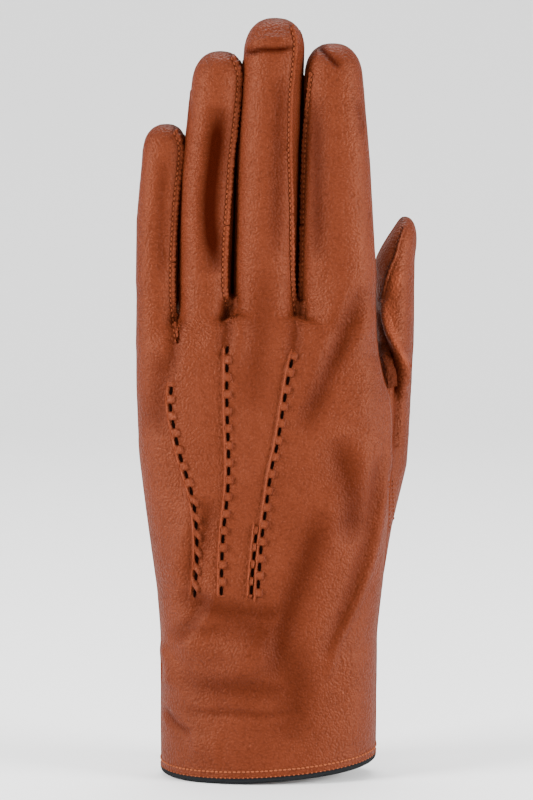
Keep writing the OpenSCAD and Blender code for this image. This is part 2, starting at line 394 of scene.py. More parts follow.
def new_group(name: str, inputs: dict[str, str], outputs: dict[str, str]) -> bpy.types.NodeTree:
    """An empty node group with named inputs and outputs.

    Args:
        name: the group's name.
        inputs: socket types by name.
        outputs: socket types by name.

    Returns:
        The group.
    """
    group = bpy.data.node_groups.new(name, "ShaderNodeTree")
    for label, kind in inputs.items():
        group.interface.new_socket(label, in_out="INPUT", socket_type=kind)
    for label, kind in outputs.items():
        group.interface.new_socket(label, in_out="OUTPUT", socket_type=kind)
    return group


def grain_group() -> bpy.types.NodeTree:
    """Pebbled leather grain with fine wrinkles: a height and a tone.

    Returns:
        The group.
    """
    number, place = "NodeSocketFloat", "NodeSocketVector"
    inputs = {"Place": place, "Pebble": number, "Wrinkle": number, "Pucker": number}
    group = new_group("leather grain", inputs, {"Height": number, "Tone": number})
    n = Nodes(group)
    given = group.nodes.new("NodeGroupInput")
    out = group.nodes.new("NodeGroupOutput")
    where = given.outputs["Place"]
    pebble = n.add("TexVoronoi", {"Vector": where, "Scale": 1450.0, "Randomness": 1.0}, feature="SMOOTH_F1")
    dome = n.spread(pebble.outputs["Distance"], 0.1, 0.75, 1, 0)
    fine = n.add("TexNoise", {"Vector": where, "Scale": 1400.0, "Detail": 3.0}).outputs[0]
    long = n.add("VectorMath", {0: where, 1: (1.0, 1.0, 0.42)}, operation="MULTIPLY").outputs[0]
    flow = n.add("TexNoise", {"Vector": long, "Scale": 1350.0, "Detail": 4.0, "Distortion": 0.7}).outputs[0]
    cross = n.add("VectorMath", {0: where, 1: (0.3, 0.6, 1.3)}, operation="MULTIPLY").outputs[0]
    crimp = n.add("TexNoise", {"Vector": cross, "Scale": 800.0, "Detail": 3.0, "Distortion": 1.3}).outputs[0]
    height = n.sum("MULTIPLY", dome, given.outputs["Pebble"])
    height = n.sum("MULTIPLY_ADD", fine, 0.28, height)
    height = n.sum("MULTIPLY_ADD", flow, given.outputs["Wrinkle"], height)
    height = n.sum("MULTIPLY_ADD", n.sum("MULTIPLY", crimp, given.outputs["Pucker"]), 1.5, height)
    group.links.new(height, out.inputs["Height"])
    broad = n.add("TexNoise", {"Vector": where, "Scale": 32.0, "Detail": 3.0, "Distortion": 0.6}).outputs[0]
    patch = n.add("TexNoise", {"Vector": where, "Scale": 170.0, "Detail": 4.0}).outputs[0]
    tone = n.sum("MULTIPLY_ADD", n.sum("SUBTRACT", broad, 0.5), 0.5, 0.5)
    tone = n.sum("MULTIPLY_ADD", n.sum("SUBTRACT", patch, 0.5), 0.22, tone)
    tone = n.sum("MULTIPLY_ADD", n.sum("SUBTRACT", dome, 0.5), 0.42, tone)
    tone = n.sum("MULTIPLY_ADD", n.sum("SUBTRACT", flow, 0.5), 0.36, tone)
    group.links.new(tone, out.inputs["Tone"])
    return group


def strand_group() -> bpy.types.NodeTree:
    """Twisted or knitted strands: a height.

    Returns:
        The group.
    """
    number, place = "NodeSocketFloat", "NodeSocketVector"
    group = new_group("strands", {"Place": place, "Count": number}, {"Height": number})
    n = Nodes(group)
    given = group.nodes.new("NodeGroupInput")
    out = group.nodes.new("NodeGroupOutput")
    scale = {0: given.outputs["Place"], "Scale": given.outputs["Count"]}
    where = n.add("VectorMath", scale, operation="SCALE").outputs[0]
    first = n.add("TexWave", {"Vector": where, "Scale": 1.0, "Distortion": 0.6}, bands_direction="DIAGONAL")
    fuzz = n.add("TexNoise", {"Vector": where, "Scale": 3.0, "Detail": 3.0}).outputs[0]
    height = n.sum("MULTIPLY_ADD", fuzz, 0.6, first.outputs["Fac"])
    group.links.new(height, out.inputs["Height"])
    return group


GROUPS: dict[str, bpy.types.NodeTree] = {}


def group_named(name: str, build: Callable[[], bpy.types.NodeTree]) -> bpy.types.NodeTree:
    """A node group, built the first time that it is asked for.

    Args:
        name: the name it is kept under.
        build: makes the group.

    Returns:
        The group.
    """
    if name not in GROUPS:
        GROUPS[name] = build()
    return GROUPS[name]


def new_material(name: str) -> tuple[bpy.types.Material, Nodes, bpy.types.Node]:
    """A material with its node helper and its surface shader.

    Args:
        name: the material's name.

    Returns:
        The material, its node helper and its shader.
    """
    material = bpy.data.materials.new(name)
    material.use_nodes = True
    shader = material.node_tree.nodes["Principled BSDF"]
    return material, Nodes(material.node_tree), shader


@dataclass(frozen=True)
class Leather:
    """Satin glove leather, darker with painted shade in its hollows and lighter with painted highlights on
    some ridges and edges, over a tone that varies at random.
    """

    name: str
    # The first colour is painted shade for the creases; the third is a lighter leather tone that also makes
    # the painted highlight.
    deep: tuple[float, float, float]
    body: tuple[float, float, float]
    light_tone_and_highlight: tuple[float, float, float]
    pebble: float = 0.75
    wrinkle: float = 0.65
    shine: float = 0.38
    bump: float = 0.9
    gloss: float = 0.2

    def made(self) -> bpy.types.Material:
        """The material.

        Returns:
            The material.
        """
        material, n, shader = new_material(self.name)
        where = n.add("TexCoord").outputs["Object"]
        pucker = n.add("Attribute", attribute_name="pucker").outputs["Fac"]
        # The painted light attribute: above 0 it paints shade, below 0 a highlight.
        hollow = n.add("Attribute", attribute_name="hollow").outputs["Fac"]
        grain = n.add("Group", node_tree=group_named("grain", grain_group))
        n.tree.links.new(where, grain.inputs["Place"])
        n.tree.links.new(pucker, grain.inputs["Pucker"])
        grain.inputs["Pebble"].default_value = self.pebble
        grain.inputs["Wrinkle"].default_value = self.wrinkle
        light = n.spread(grain.outputs["Tone"], 0.2, 0.8)
        colour = n.blend(light, (*self.body, 1), (*self.light_tone_and_highlight, 1))
        # Painted highlight: where the attribute is below 0, a copy of the lighter tone half again as bright.
        painted_light_amount = n.sum("MINIMUM", n.sum("MAXIMUM", n.sum("MULTIPLY", hollow, -1.0), 0.0), 1.0)
        colour = n.blend(painted_light_amount, colour, (*(1.5 * part for part in self.light_tone_and_highlight), 1))
        # Painted shade: where the attribute is above 0, the shade colour, with less gloss there.
        painted_shade_share = n.sum("MINIMUM", n.sum("MAXIMUM", hollow, 0.0), 1.0)
        colour = n.blend(painted_shade_share, colour, (*self.deep, 1))
        facing = n.add("LayerWeight", {"Blend": 0.5}).outputs["Facing"]
        gloss = n.spread(facing, 0.15, 0.85, self.gloss, 0.0)
        gloss = n.sum("MULTIPLY", gloss, n.sum("SUBTRACT", 1.0, painted_shade_share))
        shine = n.spread(grain.outputs["Height"], 0.4, 2.2, self.shine + 0.1, self.shine - 0.06)
        bump = n.add("Bump", {"Strength": self.bump, "Distance": 0.3 * MM, "Height": grain.outputs["Height"]})
        for label, value in (("Base Color", colour), ("Roughness", shine), ("Normal", bump.outputs[0])):
            n.tree.links.new(value, shader.inputs[label])
        n.tree.links.new(gloss, shader.inputs["Specular IOR Level"])
        shader.inputs["Specular Tint"].default_value = (1.0, 0.34, 0.18, 1)
        return material


@dataclass(frozen=True)
class Strand:
    """Thread, knitted lining or ribbed tape."""

    name: str
    colour: tuple[float, float, float]
    shade: tuple[float, float, float]
    count: float
    shine: float = 0.7
    bump: float = 0.5
    sheen: float = 0.0
    gloss: float = 0.05

    def made(self) -> bpy.types.Material:
        """The material.

        Returns:
            The material.
        """
        material, n, shader = new_material(self.name)
        where = n.add("TexCoord").outputs["Object"]
        strands = n.add("Group", node_tree=group_named("strands", strand_group))
        n.tree.links.new(where, strands.inputs["Place"])
        strands.inputs["Count"].default_value = self.count
        lit = n.spread(strands.outputs["Height"], 0.3, 1.2)
        colour = n.blend(lit, (*self.shade, 1), (*self.colour, 1))
        relief = {"Strength": self.bump, "Distance": 0.2 * MM, "Height": strands.outputs["Height"]}
        bump = n.add("Bump", relief)
        n.tree.links.new(colour, shader.inputs["Base Color"])
        n.tree.links.new(bump.outputs[0], shader.inputs["Normal"])
        n.tree.links.new(n.spread(strands.outputs["Height"], 0.2, 1.4, self.shine + 0.1, self.shine - 0.1),
                         shader.inputs["Roughness"])
        shader.inputs["Sheen Weight"].default_value = self.sheen
        shader.inputs["Specular IOR Level"].default_value = self.gloss
        return material


class Finish(Enum):
    """The finishes of the glove, each named after its slot in the record."""

    OUTER = "outer_leather"
    GUSSET = "gusset_leather"
    TURNED = "turned_leather"
    LINING = "lining"
    SEAM = "seam_thread"
    HEM = "hem_thread"
    POINT = "point_thread"
    BINDING = "binding"
    LABEL = "label"


# Each leather's first colour is its painted shade; its third is a lighter tone that, half again as bright, is
# also its painted highlight.
FINISHES: dict[Finish, Leather | Strand] = {
    Finish.OUTER: Leather("outer leather", (0.02, 0.0024, 0.0008), (0.0515, 0.0095, 0.0035),
                          (0.0905, 0.0192, 0.008)),
    Finish.GUSSET: Leather("side leather", (0.008, 0.0014, 0.0007), (0.05, 0.0088, 0.003),
                           (0.074, 0.014, 0.0052), wrinkle=1.8, shine=0.55),
    Finish.TURNED: Leather("turned leather", (0.03, 0.009, 0.005), (0.1, 0.033, 0.016), (0.14, 0.05, 0.026),
                           pebble=0.3, shine=0.75),
    Finish.LINING: Strand("knit lining", (0.09, 0.038, 0.02), (0.035, 0.014, 0.008), 700.0, 0.85, 0.8, 0.15),
    Finish.SEAM: Strand("seam thread", (0.19, 0.046, 0.018), (0.09, 0.018, 0.006), 2600.0, 0.6),
    Finish.HEM: Strand("hem thread", (0.3, 0.084, 0.034), (0.15, 0.034, 0.012), 2600.0, 0.6),
    Finish.POINT: Strand("point thread", (0.0042, 0.0016, 0.001), (0.0014, 0.0006, 0.0005), 2200.0, 0.8,
                         gloss=0.0),
    Finish.BINDING: Strand("binding tape", (0.012, 0.0128, 0.014), (0.003, 0.0033, 0.0037), 1500.0, 0.65),
    Finish.LABEL: Strand("label cloth", (0.42, 0.38, 0.31), (0.3, 0.27, 0.22), 1800.0, 0.8, 0.3),
}
MATERIALS: dict[Finish, bpy.types.Material] = {}


def material_of(finish: Finish) -> bpy.types.Material:
    """The finish's material, made the first time that it is asked for.

    Args:
        finish: the finish.

    Returns:
        The material.
    """
    if finish not in MATERIALS:
        MATERIALS[finish] = FINISHES[finish].made()
    return MATERIALS[finish]


@dataclass(frozen=True)
class Bend:
    """A fold that a soft piece crosses: its two bodies, and the heights where it starts and ends."""

    before: str
    after: str
    start: float
    end: float


WRIST = Bend("root", "hand", 26, 58)


def settle(piece: bpy.types.Object, finish: Finish, on: str | Bend, nodes: Sequence[str] = ()) -> None:
    """Brings a finished piece into the frame: metres, finish, its body when it rides on one, and the CAD
    nodes it stands for; a piece that crosses a fold only has its place baked in.

    Args:
        piece: the piece, in millimetres.
        finish: its finish.
        on: the body it rides on, or the fold it crosses.
        nodes: the CAD nodes it stands for.
    """
    piece.data.transform(Matrix.Scale(MM, 4))
    piece.data.materials.clear()
    piece.data.materials.append(material_of(finish))
    piece.data.polygons.foreach_set("use_smooth", [True] * len(piece.data.polygons))
    piece.data.set_sharp_from_angle(angle=CREASE)
    if isinstance(on, Bend):
        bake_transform(piece)
    else:
        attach(piece, on)
    if nodes:
        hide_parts(*nodes)
    log.info("%s: %d faces", piece.name, len(piece.data.polygons))


# ---- The glove's form


class Face(Enum):
    """A face of the glove, as the way it looks along y."""

    BACK = -1
    PALM = 1


class Side(Enum):
    """A side of a finger, as an angle from the thumb's side round to the palm."""

    THUMB = 0.0
    OUTER = math.pi


@dataclass(frozen=True)
class SideStrip:
    """A strip sewn in along one side of a finger, with the seam along its back edge."""

    side: Side
    label: str
    seam: Path
    lip: float = 1.7
    show: bool = True


@dataclass(frozen=True)
class Finger:
    """One finger, sized at its knuckle fold, its middle fold and its tip."""

    name: str
    folds: tuple[float, float, float]
    across: tuple[float, float, float]
    half: tuple[float, float, float]
    deep: tuple[float, float, float]
    root_deep: float
    push: float
    root_cut: float
    part_cut: float
    reach: tuple[float, float]
    strips: tuple[SideStrip, ...]
    lean: float = 4.0
    root: float = 126.0

    @property
    def cap(self) -> float:
        """Height of the rounded tip."""
        return self.half[2] * 1.1

    def centre(self, z: Array | float) -> Array:
        """The middle line's x at height z."""
        return np.interp(z, self.folds, self.across)

    def width(self, z: Array | float) -> Array:
        """Half the width at height z, before the tip rounds off."""
        return np.interp(z, self.folds, self.half)

    def depth(self, z: Array | float) -> Array:
        """Half the depth at height z."""
        return np.interp(z, (self.root, *self.folds), (self.root_deep, *self.deep))

    def forward(self, z: Array | float) -> Array:
        """How far the finger leans to the palm at height z."""
        return self.lean * np.clip((z - self.folds[0]) / (self.folds[2] - self.folds[0]), 0, 1) ** 2

    def place(self, u: Array, v: Array, depth: float = 0.0, start: float | None = None) -> Array:
        """Points on the finger's skin, round at u and up at v.

        Args:
            u: places across, from 0 to 1.
            v: places along, from 0 to 1.
            depth: how far under the skin.
            start: the height it starts from, if not its own.

        Returns:
            One position a place.
        """
        low = self.root if start is None else start
        top = self.folds[2] - self.cap
        body, dome = np.clip(v / 0.8, 0, 1), np.clip((v - 0.8) / 0.2, 0, 1) * math.pi / 2
        height = low + (top - low) * body + (self.cap - depth) * np.sin(dome)
        shrink = np.cos(dome) ** 0.8
        shrink = np.where(v > 0.999, 0, shrink)
        turn = 2 * math.pi * u
        c, s = np.cos(turn), np.sin(turn)
        x = self.centre(height) + (self.width(height) - depth) * shrink * np.sign(c) * np.abs(c) ** 0.92
        y = self.forward(height) + (self.depth(height) - depth) * shrink * np.sign(s) * np.abs(s) ** 0.92
        return np.column_stack([x, y, height])


FINGERS = (
    Finger("little", (157, 184, 216), (-38.0, -37.65, -34.7), (7.2, 7.2, 7.5), (7.6, 7.2, 6.6), 8.6, -6.5,
           150.5, 170.0, (8.0, 9.0), (
               SideStrip(Side.THUMB, "thumb_side", ((-31.2, 143), (-32.3, 148), (-33.6, 157), (-33.5, 171),
                                                    (-32.3, 191), (-31.2, 199), (-30.3, 206), (-30.8, 210),
                                                    (-32.4, 213.2))),)),
    Finger("ring", (165, 199, 240.3), (-21.9, -20.8, -16.5), (9.0, 9.0, 8.7), (9.2, 8.8, 8.0), 14.0, -2.4,
           154.5, 182.0, (10.0, 10.0), (
               SideStrip(Side.THUMB, "thumb_side", ((-14.2, 153), (-15.2, 157), (-16.2, 161), (-15.7, 178),
                                                    (-14.7, 191), (-13.8, 205), (-12.8, 212), (-10.9, 229),
                                                    (-11.0, 232.6), (-11.9, 235.6), (-13.4, 238))),
               SideStrip(Side.OUTER, "outer_side", ((-30, 150), (-29.4, 175), (-27.6, 205), (-25, 228)),
                         show=False))),
    Finger("middle", (166, 206, 251.3), (-1.7, -0.7, 1.9), (10.5, 10.3, 10.2), (10.2, 9.6, 8.8), 15.2, 2.0,
           154.5, 186.0, (10.0, 10.0), (
               SideStrip(Side.THUMB, "thumb_side", ((8.0, 153), (7.2, 158), (6.6, 171), (6.5, 191),
                                                    (5.9, 205), (6.2, 224), (6.7, 230), (7.8, 240),
                                                    (8.0, 244.5), (6.6, 248)), lip=1.2),
               SideStrip(Side.OUTER, "outer_side", ((-11, 152), (-10.6, 175), (-10, 205), (-7.6, 238)),
                         show=False))),
    Finger("index", (164, 201, 242.8), (22.9, 22.3, 20.9), (12.9, 11.4, 9.4), (10.0, 9.4, 8.4), 12.4, 6.5,
           154.5, 182.0, (10.0, 10.0), (
               SideStrip(Side.OUTER, "outer_side", ((9.4, 153), (10.9, 158), (11.2, 178), (11.6, 197),
                                                    (12.2, 215), (14.2, 233)), lip=0.9),)),
)


@dataclass(frozen=True)
class Fold:
    """A raised or sunken fold along a line on the back of the glove, with the painted shade laid along it."""

    path: Path
    rise: float
    width: float
    pucker: float = 0.0
    # dark: how much painted shade lies along the fold.
    dark: float = 0.0


@dataclass
class Palm:
    """The hand and cuff: outline edges and half depth at each height."""

    left: Path = ((-8, -37.1), (44, -37.1), (60, -38.4), (80, -41.0), (105, -44.3), (130, -45.3),
                  (142, -45.1), (149, -43.4))
    right: Path = ((-8, 35.7), (44, 36.3), (60, 38.0), (80, 40.0), (100, 41.2), (118, 41.3), (125, 40.3),
                   (130, 38.3), (136, 37.0), (143, 36.2), (149, 34.4))
    deep: Path = ((-8, 23), (44, 21.5), (60, 19.5), (80, 18), (130, 16.0), (143, 14.0), (149, 12.3))
    top: float = 149.4
    bottom: float = -8.0
    webs: tuple[tuple[float, float, float], ...] = ((-12.8, 5.0, 4.6), (12.4, 5.0, 3.6))

    def middle(self, z: Array | float) -> Array:
        """The x halfway between the edges."""
        return (look(z, self.left) + look(z, self.right)) / 2

    def half(self, z: Array | float) -> Array:
        """Half the width."""
        return (look(z, self.right) - look(z, self.left)) / 2

    def place(self, u: Array, v: Array, depth: float = 0.0) -> Array:
        """Points on the skin, round at u and up at v.

        Args:
            u: places across, from 0 to 1.
            v: places along, from 0 to 1.
            depth: how far under the skin.

        Returns:
            One position a place.
        """
        height = self.bottom + (self.top - depth - self.bottom) * np.clip((v - 0.02) / 0.96, 0, 1)
        shrink = np.where((v < 0.01) | (v > 0.99), 0.0, 1.0)
        turn = 2 * math.pi * u
        c, s = np.cos(turn), np.sin(turn)
        boxy = look(height, ((20, 0.96), (80, 0.84), (130, 0.84)))
        x = self.middle(height) + (self.half(height) - depth) * shrink * np.sign(c) * np.abs(c) ** boxy
        y = (look(height, self.deep) - depth) * shrink * np.sign(s) * np.abs(s) ** boxy
        lift = ease((height - 135) / 14)
        for place, wide, rise in self.webs:
            height = height + rise * np.exp(-(((x - place) / wide) ** 2)) * lift
        return np.column_stack([x, y, height])


@dataclass
class ThumbForm:
    """The thumb: its middle line, half width and half depth at each height."""

    across: Path = ((56, 26), (80, 27.5), (100, 31.8), (116, 36.0), (128, 41.5), (140, 42.3), (170, 42.9),
                    (184, 45.3))
    back: Path = ((56, 4), (80, 9), (100, 15), (116, 20), (151, 27), (185, 33))
    half: Path = ((56, 11.4), (80, 14.2), (100, 15.0), (116, 12.2), (128, 7.2), (172, 7.0))
    deep: Path = ((56, 9), (80, 11), (100, 12), (116, 11.4), (151, 11), (172, 9.6))
    low: float = 54.0
    tip: float = 184.3
    cap: float = 12.0

    def place(self, u: Array, v: Array, depth: float = 0.0, start: float | None = None) -> Array:
        """Points on the skin, round at u and up at v.

        Args:
            u: places across, from 0 to 1.
            v: places along, from 0 to 1.
            depth: how far under the skin.
            start: the height it starts from, if not its own.

        Returns:
            One position a place.
        """
        low = self.low if start is None else start
        body, dome = np.clip(v / 0.82, 0, 1), np.clip((v - 0.82) / 0.18, 0, 1) * math.pi / 2
        height = low + (self.tip - self.cap - low) * body + (self.cap - depth) * np.sin(dome)
        shrink = np.where(v > 0.999, 0, np.cos(dome) ** 0.8)
        shrink = np.where(v < 0.001, 0 if start is None else 1, shrink)
        turn = 2 * math.pi * u
        slope = np.where(np.cos(turn) < 0, np.clip((self.tip - height) / 16, 0, 1) ** 0.75, 1)
        x = look(height, self.across) + (look(height, self.half) - depth) * shrink * slope * np.cos(turn)
        y = look(height, self.back) + (look(height, self.deep) - depth) * shrink * np.sin(turn)
        return np.column_stack([x, y, height])


# Each fold: its line, rise, width, pucker, and the painted shade laid along it.
FOLDS: tuple[Fold, ...] = (
    # hollows that run down from the webs, and the puckers beside them
    Fold(((-31, 152), (-32, 143), (-34, 132)), -1.1, 2.4, 0.9, 0.35),
    Fold(((-13.5, 158), (-14.5, 150), (-15.5, 138)), -1.2, 2.4, 1.0, 0.35),
    Fold(((9, 153), (8, 145), (7, 137)), -1.1, 2.4, 1.0, 0.35),
    Fold(((-10.5, 155), (-9, 145), (-12, 134)), 0.7, 2.6, 0.8),
    Fold(((-19, 152), (-19.5, 140)), 0.6, 2.6, 0.6),
    Fold(((12, 152), (11, 142)), 0.5, 2.2, 0.6),
    Fold(((-37, 140), (-36, 128), (-39, 112)), -0.8, 5.0, 0.4, 0.3),
    Fold(((-40, 150), (-41, 135), (-41.5, 118)), 0.5, 4.0, 0.2),
    # ridges and hollows over the knuckles and the back of the hand
    Fold(((-2, 168), (-3, 150), (-5, 134), (-6, 120)), -0.6, 4.2, 0.2, 0.24),
    Fold(((27, 168), (21, 150), (15, 134), (8, 118)), 1.2, 4.4, 0.3),
    Fold(((31, 162), (24.5, 144), (17.5, 130), (11, 114)), -1.5, 3.6, 0.2, 0.4),
    Fold(((36, 154), (28, 143), (20, 133), (11, 122)), 0.8, 3.0, 0.5),
    Fold(((36, 138), (33, 127), (27, 117)), 1.0, 6.0, 0.9),
    Fold(((22, 112), (27, 96), (28, 76)), -1.5, 5.0, 0.1, 0.42),
    Fold(((35, 108), (26, 93), (17, 79), (5, 58), (-8, 37), (-14, 22)), 1.5, 6.5),
    Fold(((18, 88), (11, 68), (4, 48), (2, 30)), -1.6, 5.0, 0.0, 0.45),
    Fold(((39.7, 106), (37.7, 84), (33.3, 66), (26.7, 50.7), (22.3, 44), (19.3, 31)), 1.1, 1.5),
    Fold(((36.5, 106), (34.5, 84), (30, 66), (24, 51), (18, 38)), -1.1, 3.0, 0.0, 0.3),
    Fold(((-6, 128), (-4, 110), (-5, 92)), 0.6, 5.0),
    # folds over the wrist
    Fold(((-31, 47), (-18, 48), (-4, 47), (9, 48)), -0.6, 2.1, 0.3, 0.22),
    Fold(((-31, 60), (-20, 55), (-4, 53), (8, 54)), -0.9, 4.0, 0.2, 0.4),
    Fold(((-30, 41), (-14, 40), (2, 41)), 0.7, 3.4),
    Fold(((-30, 30), (-14, 29), (4, 28), (14, 30)), -0.8, 4.0, 0.1, 0.3),
    Fold(((-29, 19.5), (-14, 20.5), (4, 19.5), (12, 20.5)), -0.6, 1.5, 0.4, 0.25),
    Fold(((-27, 9), (-16, 8)), 0.9, 4.5),
    Fold(((-20, 53), (-4, 50), (8, 37), (9, 26), (6, 11)), -0.5, 6.5, 0.0, 0.34),
    Fold(((-26, 29), (-10, 33), (2, 39), (11, 49)), 0.7, 4.0),
    Fold(((-37, 41), (-33, 34), (-35, 27)), 1.3, 2.4),
    Fold(((-36.5, 20), (-32, 14.5), (-27, 12)), -0.9, 1.4, 0.2, 0.3),
    Fold(((-24, 98), (-28, 80), (-33, 62)), 0.8, 3.6, 0.5),
    Fold(((-20, 92), (-23, 76), (-27, 62)), -0.7, 3.0, 0.5, 0.3),
    Fold(((-17, 64), (-22, 50), (-31, 38)), 1.0, 3.6, 0.3),
    Fold(((-21, 60), (-27, 48), (-34, 44)), -0.9, 2.2, 0.5, 0.3),
    Fold(((29, 40), (31, 24), (30, 8)), 0.9, 6.0, 0.4),
    # the fingers' soft hollows and the creases of their tips
    Fold(((-16.5, 222), (-18.5, 204), (-20, 192), (-20, 182), (-17.5, 166)), -1.1, 3.6, 0.0, 0.85),
    Fold(((3.5, 232), (2.5, 200), (2, 172)), -0.6, 3.0, 0.0, 0.38),
    Fold(((15, 226), (15.5, 200), (16, 170)), -0.5, 3.2, 0.0, 0.42),
    Fold(((-35.5, 204), (-36.5, 186), (-36, 164)), -0.4, 2.0, 0.0, 0.3),
    Fold(((-9.5, 239.4), (-3, 240.6), (3, 240.4), (8.5, 241.6)), -0.9, 0.9, 1.0, 0.75),
    Fold(((-7, 243), (0, 244), (7, 244.5)), 0.5, 1.4, 1.0),
    Fold(((15, 243), (19, 239), (23.5, 234.5)), -0.9, 1.0, 0.8, 0.7),
    Fold(((29.5, 224), (31.5, 212)), -0.3, 1.6, 0.9, 0.2),
    Fold(((3, 210), (5.5, 207)), -0.4, 1.2, 1.0, 0.3),
    # the thumb's rolled fold, the shadow beside it and the edge of the hand below it
    Fold(((38.6, 156), (39.2, 147), (42.3, 140.5), (46, 134), (47.5, 126)), 1.7, 1.5, 0.2),
    Fold(((37.0, 153), (37.8, 147), (39.6, 140.5)), -1.4, 0.8, 0.4, 0.45),
    Fold(((38.6, 142), (41.2, 136.5), (43.6, 130), (44.2, 122)), -2.2, 1.5, 0.6, 0.8),
    Fold(((39.2, 129), (40.6, 122), (41, 112), (40, 99)), 0.8, 1.4, 0.3),
    Fold(((43.4, 128), (43.6, 117), (42.6, 106)), -1.2, 1.5, 0.5, 0.3),
    Fold(((36.8, 158), (38.2, 164), (40.2, 170), (42.3, 176)), -0.2, 1.6, 0.8, 0.5),
)


@dataclass
class Skin:
    """The outer leather's form, made as one skin and then cut into its pieces."""

    palm: Palm = field(default_factory=Palm)
    thumb: ThumbForm = field(default_factory=ThumbForm)
    fingers: tuple[Finger, ...] = FINGERS
    cell: float = 0.95
    hem_slope: tuple[float, float] = (0.06, 0.13)
    hem_lift: float = 2.0
    depth_of_shade: float = 1.4
    thumb_root: float = 123.5
    thumb_seam: Path = ((146, 36.5), (155, 37.3), (161, 38.6), (167, 40.4), (170.5, 42.3), (176, 43.6),
                        (180, 45.4))
    thumb_roll: Path = ((130, 45.5), (136, 42.5), (141, 40.0), (147, 38.6), (156, 38.4), (164, 41.0))
    thumb_part: float = 138.0
    spread_low: float = 141.0
    spread_high: float = 160.0
    join: tuple[float, float] = (110.0, 162.0)
    thumb_left: float = 29.0

    def ramp(self, z: Array) -> Array:
        """How much of its push a finger has at height z."""
        return ease((z - self.spread_low) / (self.spread_high - self.spread_low))

    def pushed(self, finger: Finger) -> Place:
        """The finger's points while the fingers are held apart.

        Args:
            finger: the finger.

        Returns:
            The function that puts the points.
        """
        def place(u: Array, v: Array) -> Array:
            """Puts the finger's points, with a closed root.

            Args:
                u: places across, from 0 to 1.
                v: places along, from 0 to 1.

            Returns:
                One position a place.
            """
            points = finger.place(u, v)
            points[v < 0.001, 0] = finger.centre(finger.root)
            points[v < 0.001, 1] = 0
            points[:, 0] += finger.push * self.ramp(points[:, 2])
            return points
        return place

    def form(self, cell: float) -> bpy.types.Object:
        """The whole form as one even skin.

        Args:
            cell: the size of its faces.

        Returns:
            The object, in millimetres, with its fingers back together.
        """
        parts = [sheet("palm form", 96, 60, self.palm.place, wrap=True),
                 sheet("thumb form", 48, 60, self.thumb.place, wrap=True)]
        parts += [sheet(f.name + " form", 48, 60, self.pushed(f), wrap=True) for f in self.fingers]
        bm = bmesh.new()
        for part in parts:
            bm.from_mesh(part.data)
            bpy.data.objects.remove(part)
        piece = as_object(bm, "skin")
        even = piece.modifiers.new("even", "REMESH")
        even.mode = "VOXEL"
        even.voxel_size = cell
        baked(piece)

        def relax(bm: bmesh.types.BMesh) -> None:
            """Smooths the skin, most where the pieces of the form meet.

            Args:
                bm: the open mesh.
            """
            near = [v for v in bm.verts if self.join[0] < v.co.z < self.join[1]]
            for verts, times in ((list(bm.verts), int(8 / cell)), (near, int(14 / cell))):
                for _ in range(times):
                    bmesh.ops.smooth_vert(bm, verts=verts, factor=0.5, use_axis_x=True, use_axis_y=True,
                                          use_axis_z=True)
        with_mesh(piece, relax)
        spots, _ = corners(piece)
        shift = np.full(len(spots), self.fingers[0].push)
        owner = np.zeros(len(spots))
        z = spots[:, 2]
        for one, other in zip(self.fingers[:-1], self.fingers[1:]):
            right = one.centre(z) + one.width(z) + one.push * self.ramp(z)
            left = other.centre(z) - other.width(z) + other.push * self.ramp(z)
            t = ease((spots[:, 0] - right) / np.maximum(left - right, 0.3))
            shift += (other.push - one.push) * t
            owner += t
        thumb = (z > self.thumb_root - 4) & self.on_thumb(spots)
        shift[thumb] = 0
        spots[:, 0] -= shift * self.ramp(z)
        put(piece, spots)
        owner = np.round(owner)
        owner[thumb] = len(self.fingers)
        mark(piece, "owner", owner)
        return piece

    def thumb_front(self, z: Array) -> Array:
        """The y that parts the thumb from the hand at height z."""
        return look(z, ((118, 10.0), (126, 10.5), (140, 12.5), (160, 15.0), (190, 17.0)))

    def on_thumb(self, spots: Array) -> Array:
        """Which spots lie on the thumb's side of the line that parts it from the hand."""
        return (spots[:, 1] > self.thumb_front(spots[:, 2])) & (spots[:, 0] > self.thumb_left)

    def sculpt(self, piece: bpy.types.Object) -> None:
        """Presses the folds, hollows and soft unevenness of used leather into the skin, and marks painted
        shade in the folds and painted highlights on the thumb.

        Args:
            piece: the piece.
        """
        spots, normals = corners(piece)
        x, z = spots[:, 0], spots[:, 2]
        back = ease((0.15 - normals[:, 1]) / 0.7)
        pucker = np.zeros(len(spots))
        hollow = np.zeros(len(spots))
        move = np.zeros(len(spots))
        for fold in FOLDS:
            gap, along, _ = away(x, z, fold.path)
            taper = np.sqrt(np.clip(np.minimum(along, 1 - along) * 5, 0, 1))
            shape = np.exp(-((gap / fold.width) ** 2)) * taper * back
            move += fold.rise * shape
            # Painted shade along the folds, in the creases where shade falls.
            hollow = np.maximum(hollow, self.depth_of_shade * fold.dark * shape)
            wide = np.exp(-((gap / (fold.width * 2 + 2)) ** 2)) * back
            pucker = np.maximum(pucker, fold.pucker * wide)
        # Painted highlight on the thumb's side beside its seam, in place of its painted shade.
        thumb_panel_highlight = ease((z - 146) / 8) * ease((look(z, self.thumb_seam) - x) / 1.2) * self.on_thumb(spots)
        hollow = np.where(thumb_panel_highlight > 0, hollow * (1 - thumb_panel_highlight) - 0.8 * thumb_panel_highlight, hollow)
